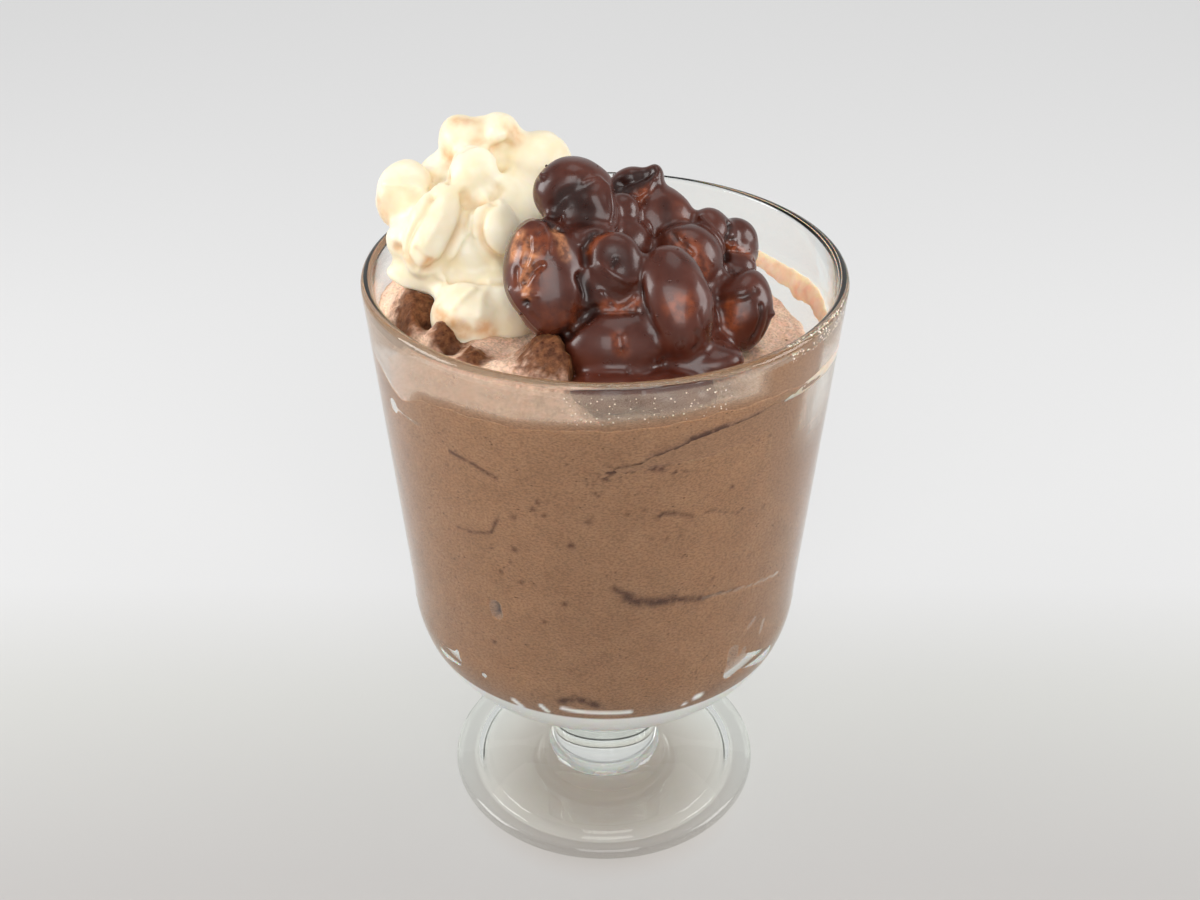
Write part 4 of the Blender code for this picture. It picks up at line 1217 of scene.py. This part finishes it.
def dent_and_roughen(points, side, fine):
    """Press the pockets into the side, and make the loose side and the open top uneven."""
    inward = np.column_stack([-points[:, 0], -points[:, 1], np.zeros(len(points))])
    inward /= np.linalg.norm(inward, axis=1)[:, None] + 1e-12
    lumps = roughness_of(points, 4.5 * MM, 3, 4)
    off_wall = np.tile(stand_off(columns), len(points) // len(columns))
    loose = off_wall * ease((points[:, 2] - LOOSE_FROM) / (LOOSE_TO - LOOSE_FROM))
    depth = sum(amount * MM * on_wall(points, path, width, 3.0) for path, width, amount in WALL_POCKETS)
    depth += loose * (0.6 * MM * lumps + 0.2 * MM * fine)
    points += inward * (depth * side)[:, None]
    edge_fade = np.clip((SMOOTH_NEAR - np.hypot(points[:, 0], points[:, 1])) / (4 * MM), 0.25, 1)
    points[:, 2] += ~side * edge_fade * (1.0 * MM * lumps + 0.2 * MM * fine)


def keep_below(points, which, skins):
    """Lower those points of the top that would come up inside a cluster, so that they just reach into it."""
    for i in which:
        start = Vector((points[i, 0], points[i, 1], 90 * MM))
        for skin in skins:
            hit = skin.ray_cast(start, Vector((0, 0, 1)))[0]
            if hit is not None:
                points[i, 2] = min(points[i, 2], hit.z + REACH_IN)


print("dents ready")

# %% Build the mousse
def build_mousse(skins):
    """The mousse as one closed mesh, with its marks stored on it. It stays below the clusters' skins."""
    rings = mousse_rings()
    points = rings.reshape(-1, 3)
    side = np.arange(len(points)) < (len(bottom_turns) + len(side_shares)) * len(columns)
    fine = roughness_of(points, 1.1 * MM, 4, 2)
    marks = {"speck_shade": dark_marks(points, fine), "shade": crevice_shade(points)}
    marks["painted_pale_light"] = painted_pale_light_marks(points, side)
    dent_and_roughen(points, side, fine)
    keep_below(points, np.where(~side)[0], skins)
    marks["wet_and_shaded"] = wet_and_shaded_marks(points, side)
    marks["torn_and_shaded"] = torn_and_shaded_marks(points, side, fine)
    rings = points.reshape(rings.shape)
    lowest = bowl_curve(BOTTOM_RADIUS, BOTTOM_DEPTH, 90)[1]
    mesh = grid_mesh("chocolate_mousse", rings, ((0, 0, lowest), (0, 0, rings[-1, :, 2].mean())))
    for name, values in marks.items():
        store(mesh, name, np.append(values, (0.0, 0.0)))  # the two poles have no marks
    return mesh


skins = [BVHTree.FromPolygons([point.co for point in cluster.data.vertices],
                              [face.vertices for face in cluster.data.polygons])
         for cluster in (white, dark)]
mousse = new_piece("chocolate_mousse_filling", build_mousse(skins))
print("mousse:", len(mousse.data.polygons), "faces")

# %% [markdown]
# ### Mousse material
#
# Whipped chocolate mousse is a foam: milk-chocolate brown, matt, and soft-looking because light goes in a
# few millimetres. Its open top is painted lighter: painted light from above. Pressed against the glass its
# skin is wet and darker, and darker still as painted shade of the side; torn lumps dry out and turn dark
# brown, and are darkened further as painted shade under the clusters. Burst bubbles, cracks and the crevice
# show as dark specks of painted shade, and the foam itself as a fine grain, drawn at half a millimetre so
# that it can be seen. At the very bottom the mousse is painted near white, a painted light that the thick
# glass there gathers, which gives the pale crescent above the stem.

# %% Mousse: its browns, with painted light on the open top and painted shade on the side and under the clusters
whipped, tree = new_material("whipped_chocolate_mousse")
place = add(tree, "ShaderNodeTexCoord").outputs["Object"]
clouds = add(tree, "ShaderNodeTexNoise", {"Vector": place, "Scale": 1 / (5 * MM), "Detail": 5.0})
# The open top is light brown, painted light from above; the side on the glass is wet and in painted shade
brown = add(tree, "ShaderNodeValToRGB", {"Fac": clouds}, ((0.35, "E8BDA4"), (0.65, "F2D1B9")))
wet_and_shaded_brown = add(tree, "ShaderNodeValToRGB", {"Fac": clouds}, ((0.3, "9C7454"), (0.7, "A9805F")))
crumbs = add(tree, "ShaderNodeTexNoise", {"Vector": place, "Scale": 1 / (1.2 * MM), "Detail": 5.0})
# Torn places: drier, and dark brown as painted shade under the clusters
dry_and_shaded_brown = add(tree, "ShaderNodeValToRGB", {"Fac": crumbs}, ((0.35, "5C351F"), (0.65, "8A5A3A")))
wet_and_shaded = add(tree, "ShaderNodeAttribute", attribute_name="wet_and_shaded").outputs["Fac"]
torn_and_shaded = add(tree, "ShaderNodeAttribute", attribute_name="torn_and_shaded").outputs["Fac"]
soft = add(tree, "ShaderNodeMix", {"Factor": wet_and_shaded, "A": brown, "B": wet_and_shaded_brown}, data_type="RGBA")
colour = add(tree, "ShaderNodeMix", {"Factor": torn_and_shaded, "A": soft, "B": dry_and_shaded_brown}, data_type="RGBA")
print("browns of the mousse:", len(tree.nodes), "nodes")

# %% Mousse: painted shade in its small bubbles
flattened = add(tree, "ShaderNodeMapping", {"Vector": place, "Scale": (1.0, 1.0, 1.7)})
cells = add(tree, "ShaderNodeTexVoronoi", {"Vector": flattened, "Scale": 1 / (1.5 * MM)})
# Bubble cells darkened: painted shade in the pores
bubbles = add(tree, "ShaderNodeValToRGB", {"Fac": cells}, ((0.1, "A09186"), (0.2, "FFFFFF")))
with_bubble_shade = add(tree, "ShaderNodeMix", {"Factor": 1.0, "A": colour, "B": bubbles},
                   data_type="RGBA", blend_type="MULTIPLY")
spots = add(tree, "ShaderNodeTexNoise", {"Vector": flattened, "Scale": 1 / (5 * MM), "Detail": 2.0})
here_and_there = add(tree, "ShaderNodeMapRange", {"Value": spots, "From Min": 0.47, "From Max": 0.66})
colour = add(tree, "ShaderNodeMix", {"Factor": here_and_there, "A": colour, "B": with_bubble_shade},
             data_type="RGBA")
print("with bubbles:", len(tree.nodes), "nodes")

# %% Mousse: its marks of painted shade and painted pale light, and its grain
shade = add(tree, "ShaderNodeAttribute", attribute_name="shade").outputs["Fac"]
in_shade = add(tree, "ShaderNodeMath", {0: shade, 1: 0.9}, operation="MULTIPLY")
colour = add(tree, "ShaderNodeMix", {"Factor": in_shade, "A": colour, "B": linear("6F4D44")},
             data_type="RGBA")
# Specks of painted shade in bubbles, cracks and the crevice
speck_shade = add(tree, "ShaderNodeAttribute", attribute_name="speck_shade").outputs["Fac"]
colour = add(tree, "ShaderNodeMix", {"Factor": speck_shade, "A": colour, "B": linear("4E2A18")}, data_type="RGBA")
grains = add(tree, "ShaderNodeTexNoise", {"Vector": flattened, "Scale": 1 / (0.5 * MM), "Detail": 3.0})
grain = add(tree, "ShaderNodeValToRGB", {"Fac": grains}, ((0.34, "D4D1CE"), (0.62, "FFFFFF")))
colour = add(tree, "ShaderNodeMix", {"Factor": 1.0, "A": colour, "B": grain},
             data_type="RGBA", blend_type="MULTIPLY")
# Pale places painted near white: painted light at the bottom, painted reflection low on the wall
painted_pale_light = add(tree, "ShaderNodeAttribute", attribute_name="painted_pale_light").outputs["Fac"]
colour = add(tree, "ShaderNodeMix", {"Factor": painted_pale_light, "A": colour, "B": linear("FFFEFC")}, data_type="RGBA")
print("with marks and grain:", len(tree.nodes), "nodes")

# %% Mousse: its finish
foam = add(tree, "ShaderNodeTexNoise", {"Vector": place, "Scale": 1 / (0.8 * MM), "Detail": 4.0})
bump = add(tree, "ShaderNodeBump", {"Height": foam, "Strength": 0.4, "Distance": 0.3 * MM})
finish = add(tree, "ShaderNodeBsdfPrincipled", {
    "Base Color": colour, "Roughness": 0.6, "IOR": 1.4, "Specular IOR Level": 0.25, "Subsurface Weight": 0.6,
    "Subsurface Radius": (2.6, 1.4, 0.8), "Subsurface Scale": 1.0 * MM, "Normal": bump})
add(tree, "ShaderNodeOutputMaterial", {"Surface": finish})
mousse.data.materials.append(whipped)
print(whipped.name)

# %% [markdown]
# ## The smear on the wall
#
# Where the mousse has come away from the glass, on the right, it left a thin band behind. It is so thin
# that light comes through, which makes it warmer and brighter than the body.

# %% The smear
SMEAR_FROM, SMEAR_TO, SMEAR_STEP = -44, 70, 0.8  # degrees
SMEAR_LOW, SMEAR_HIGH = 103.4, 106.8  # mm
SMEAR_DRIPS = ((22, 5, 1.4), (32, 4, 0.8), (-12, 6, 0.8))  # angle and half width in degrees, hang in mm
SMEAR_RADIUS = 40 * MM  # about how far it is from the axis


def smear_ring(angle):
    """The section of the smear at one angle, flat on the wall and rounded inwards."""
    section = np.radians(np.arange(0, 360, 15))
    hang = sum(size * math.exp(-(((angle - at) / width) ** 2)) for at, width, size in SMEAR_DRIPS)
    taper = float(ease(min(angle - SMEAR_FROM, SMEAR_TO - angle) / 9))
    low, high = (SMEAR_LOW - hang) * MM, (SMEAR_HIGH + 0.5 * math.sin(angle / 7)) * MM
    middle, half = (low + high) / 2, (high - low) / 2 * (0.12 + 0.88 * taper)
    heights = middle + half * np.sin(section)
    depth = (0.2 + 1.1 * taper) * MM * (1 - 0.35 * np.sin(section)) * 0.5 * (1 - np.cos(section))
    radii = inner_radius(heights) + WALL_REACH - depth
    turn = math.radians(angle)
    return np.column_stack([radii * math.cos(turn), radii * math.sin(turn), heights])


def build_smear():
    """A closed band: its section at each step of the angle, made lumpy where it is off the wall."""
    rings = np.array([smear_ring(angle) for angle in np.arange(SMEAR_FROM, SMEAR_TO + 0.1, SMEAR_STEP)])
    points = rings.reshape(-1, 3)
    lumps = roughness_of(points, 2.6 * MM, 6)
    off_wall = inner_radius(points[:, 2]) - np.hypot(points[:, 0], points[:, 1])
    points[:, :2] *= (1 - 0.45 * MM * lumps * ease(off_wall / (0.6 * MM)) / SMEAR_RADIUS)[:, None]
    points[:, 2] += 0.35 * MM * roughness_of(points, 3 * MM, 8) * ease(off_wall / (0.3 * MM))
    ends = [ring.mean(axis=0) for ring in (rings[0], rings[-1])]
    return grid_mesh("mousse_smear", rings, ends)


smear = new_piece("smear_on_the_wall", build_smear())
print("smear:", len(smear.data.polygons), "faces")

# %% Smear material
thin_mousse, tree = new_material("thin_smeared_mousse")
place = add(tree, "ShaderNodeTexCoord").outputs["Object"]
clouds = add(tree, "ShaderNodeTexNoise", {"Vector": place, "Scale": 1 / (3 * MM), "Detail": 4.0})
colour = add(tree, "ShaderNodeValToRGB", {"Fac": clouds}, ((0.35, "EBC4AB"), (0.65, "F5DDC6")))
foam = add(tree, "ShaderNodeTexNoise", {"Vector": place, "Scale": 1 / (0.7 * MM), "Detail": 4.0})
bump = add(tree, "ShaderNodeBump", {"Height": foam, "Strength": 0.5, "Distance": 0.25 * MM})
finish = add(tree, "ShaderNodeBsdfPrincipled", {
    "Base Color": colour, "Roughness": 0.5, "IOR": 1.4, "Subsurface Weight": 0.9,
    "Subsurface Radius": (3.0, 1.6, 0.9), "Subsurface Scale": 1.0 * MM, "Normal": bump})
add(tree, "ShaderNodeOutputMaterial", {"Surface": finish})
smear.data.materials.append(thin_mousse)
print(thin_mousse.name)

# %% [markdown]
# ## The film on the glass
#
# Spooning in left a greasy film on the inside of the wall. It is thick and brown along the mousse's edge
# and where the mousse has only just come away, thin and grey above, and thinnest in front of the dark
# cluster, where it was wiped. It is a closed shell much thinner than a hair, and how much it hides is
# stored on its points.

# %% How much the film hides
FILM_FROM, FILM_TO = -178, 8  # degrees
FILM_TOP = 113.9 * MM


def film_thickness(angles, heights):
    """How much the film hides, from 0 to 1."""
    above = heights - by_angle(WALL_LINE, angles) * MM
    inset = side_inset(angles, heights)
    right = ease((angles + 60) / 14)
    # A thin veil above the mousse, thinner in front of the dark cluster
    wiped = 0.24 * ease(2 - np.abs(angles + 76) / 14)
    veil = (0.44 - wiped) * ease((angles + 178) / 12) * ease((4 - angles) / 14) * ease(above / (0.8 * MM))
    # A thick lip along the mousse's edge
    lip = 0.9 * ease(1 - above / (4.0 * MM)) * ease((angles + 150) / 12) * ease((-30 - angles) / 10)
    # Thick where the mousse has only just come away from the wall
    body = 0.28 * right + (1 - 0.28 * right) * np.exp(-((inset / ((0.3 + 1.3 * right) * MM)) ** 2))
    body = body * ease((6 - angles) / 16) * ease((angles + 94) / 4)
    body = body * np.maximum(right, ease((heights - 84 * MM) / (2 * MM)))
    body = body * np.maximum(ease((0.6 * MM - above) / (1.2 * MM)), ease((-25 - angles) / 8) * right)
    return np.maximum(np.maximum(veil, lip), body) * ease((FILM_TOP - heights) / (0.4 * MM))


at_front = float(film_thickness(np.array([-90.0]), 110 * MM)[0])
print("at the front the film hides", round(at_front, 2), "of what is behind it")

# %% The film
FILM_HEIGHTS = np.concatenate([np.arange(70, 104, 0.9), np.arange(104, 114.4, 0.35)]) * MM
FILM_STEP = 1.2  # degrees
INTO_WALL, OUT_OF_WALL = 0.04 * MM, 0.02 * MM


def build_film():
    """The film as a closed shell that reaches just into the wall."""
    count = len(FILM_HEIGHTS)
    heights = np.concatenate([FILM_HEIGHTS, FILM_HEIGHTS[::-1]])
    offset = np.repeat([INTO_WALL, -OUT_OF_WALL], count)
    rings, hiding = [], []
    for angle in np.arange(FILM_FROM, FILM_TO, FILM_STEP):
        turn = math.radians(angle)
        radii = inner_radius(heights) + offset
        rings.append(np.column_stack([radii * math.cos(turn), radii * math.sin(turn), heights]))
        hiding.append(film_thickness(np.full(len(heights), angle), heights))
    ends = [ring.mean(axis=0) for ring in (rings[0], rings[-1])]
    mesh = grid_mesh("film", np.array(rings), ends)
    store(mesh, "hiding", np.append(np.array(hiding).reshape(-1), (0.0, 0.0)))
    return mesh


film = new_piece("film_on_the_glass", build_film())
print("film:", len(film.data.polygons), "faces")

# %% Film material
greasy, tree = new_material("greasy_mousse_film")
place = add(tree, "ShaderNodeTexCoord").outputs["Object"]
drawn_out = add(tree, "ShaderNodeMapping", {"Vector": place, "Scale": (1.0, 1.0, 2.4)})
hiding = add(tree, "ShaderNodeAttribute", attribute_name="hiding").outputs["Fac"]
brown = add(tree, "ShaderNodeValToRGB", {"Fac": hiding}, ((0.3, "DEC4B0"), (0.6, "B8967C"), (0.9, "A0785A")))
grains = add(tree, "ShaderNodeTexNoise", {"Vector": drawn_out, "Scale": 1 / (0.5 * MM), "Detail": 3.0})
grain = add(tree, "ShaderNodeValToRGB", {"Fac": grains}, ((0.34, "D4D1CE"), (0.62, "FFFFFF")))
colour = add(tree, "ShaderNodeMix", {"Factor": 1.0, "A": brown, "B": grain},
             data_type="RGBA", blend_type="MULTIPLY")
smudges = add(tree, "ShaderNodeTexNoise", {"Vector": drawn_out, "Scale": 1 / (6 * MM), "Detail": 5.0})
streaks = add(tree, "ShaderNodeMapRange", {
    "Value": smudges, "From Min": 0.36, "From Max": 0.62, "To Min": 0.55})
streaky = add(tree, "ShaderNodeMath", {0: hiding, 1: streaks}, operation="MULTIPLY")
# Streaks break up the thin film, but not the thick one
cover = add(tree, "ShaderNodeMix", {"Factor": hiding, "A": streaky, "B": hiding}, data_type="FLOAT")
finish = add(tree, "ShaderNodeBsdfPrincipled", {
    "Base Color": colour, "Roughness": 0.6, "IOR": 1.4, "Specular IOR Level": 0.2, "Alpha": cover})
add(tree, "ShaderNodeOutputMaterial", {"Surface": finish})
film.data.materials.append(greasy)
print(greasy.name)

# %% [markdown]
# ## Beads
#
# Spooning leaves spatters too: a line of beads under the rim on the right, and finer ones on the greasy
# film. Their near-white colour is a painted glint of the drops as well as their own. Small drops of
# chocolate also stand out on the dark cluster. One Geometry Nodes tree scatters them all, with fixed seeds
# and at their true size, which is no more than 0.3 mm in radius.

# %% A tree that scatters beads
def scattering_tree():
    """A tree that scatters small round beads over a surface and keeps only the beads."""
    tree = bpy.data.node_groups.new("scatter_beads", "GeometryNodeTree")
    face = tree.interface
    face.new_socket("Surface", in_out="INPUT", socket_type="NodeSocketGeometry")
    for name in ("Density", "Smallest", "Largest"):
        face.new_socket(name, in_out="INPUT", socket_type="NodeSocketFloat")
    face.new_socket("Seed", in_out="INPUT", socket_type="NodeSocketInt")
    face.new_socket("Material", in_out="INPUT", socket_type="NodeSocketMaterial")
    face.new_socket("Beads", in_out="OUTPUT", socket_type="NodeSocketGeometry")
    given = add(tree, "NodeGroupInput").outputs
    spots = add(tree, "GeometryNodeDistributePointsOnFaces", {
        "Mesh": given["Surface"], "Density": given["Density"], "Seed": given["Seed"]})
    bead = add(tree, "GeometryNodeMeshIcoSphere", {"Radius": 1.0, "Subdivisions": 2})
    size = add(tree, "FunctionNodeRandomValue", {
        2: given["Smallest"], 3: given["Largest"], "Seed": given["Seed"]}, data_type="FLOAT")
    placed = add(tree, "GeometryNodeInstanceOnPoints", {"Points": spots, "Instance": bead, "Scale": size})
    smooth = add(tree, "GeometryNodeSetShadeSmooth", {"Geometry": placed})
    real = add(tree, "GeometryNodeRealizeInstances", {"Geometry": smooth})
    finished = add(tree, "GeometryNodeSetMaterial", {"Geometry": real, "Material": given["Material"]})
    add(tree, "NodeGroupOutput", {"Beads": finished})
    return tree


beads_tree = scattering_tree()


def scatter(name, surface, per_square_mm, smallest, largest, seed, material):
    """Beads over a mesh, so many per square mm; the smallest and the largest are radii in mm."""
    piece = new_piece(name, surface)
    scattering = piece.modifiers.new("scattering", "NODES")
    scattering.node_group = beads_tree
    set_inputs(scattering, Density=per_square_mm / MM ** 2, Smallest=smallest * MM, Largest=largest * MM,
               Seed=seed, Material=material)
    bake(piece)
    return piece


def wall_patch(start, end, low, high):
    """A strip of the inner wall between two angles in degrees and two heights in mm."""
    rows, columns = 5, 40
    grid = np.array([[wall_point(angle, z) for angle in np.linspace(start, end, columns)]
                     for z in np.linspace(low, high, rows)])
    here = np.arange(rows * columns).reshape(rows, columns)
    faces = np.stack([here[:-1, :-1], here[:-1, 1:], here[1:, 1:], here[1:, :-1]], axis=-1).reshape(-1, 4)
    mesh = bpy.data.meshes.new("patch")
    mesh.from_pydata(grid.reshape(-1, 3).tolist(), [], faces.tolist())
    return mesh


print("scattering tree with", len(beads_tree.nodes), "nodes")

# %% Scatter the beads
# Near-white beads: a painted glint of the drops as well as their own colour
painted_glint_beads, tree = new_material("beads_with_painted_glint")
finish = add(tree, "ShaderNodeBsdfPrincipled", {
    "Base Color": linear("F1E6DA"), "Roughness": 0.25, "IOR": 1.45, "Subsurface Weight": 0.4,
    "Subsurface Scale": 0.2 * MM})
add(tree, "ShaderNodeOutputMaterial", {"Surface": finish})
beads_right = scatter("beads_under_the_rim", wall_patch(-44, -14, 112.3, 113.9), 2.2, 0.09, 0.2, 3, painted_glint_beads)
beads_front = scatter("beads_on_the_film", wall_patch(-100, -60, 107.9, 113.2), 0.5, 0.06, 0.15, 5, painted_glint_beads)
drops = scatter("drops_on_the_dark_cluster", dark.data.copy(), 0.016, 0.12, 0.3, 8, dark_chocolate)
for piece in (beads_right, beads_front, drops):
    print(piece.name, len(piece.data.polygons), "faces")

# %% Join the pieces to the frame
for piece, slot in ((film, "smeared_mousse"), (beads_right, "smeared_mousse"),
                    (beads_front, "smeared_mousse"), (drops, "dark_chocolate")):
    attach(piece, "root")
for piece, node, slot in ((mousse, "mousse", "chocolate_mousse"), (smear, "mousse_smear", "smeared_mousse"),
                          (white, "white_cluster", "white_chocolate"),
                          (dark, "dark_cluster", "dark_chocolate")):
    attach(piece, "root")
    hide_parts(node)

# %% Done
print("the frame is dressed")
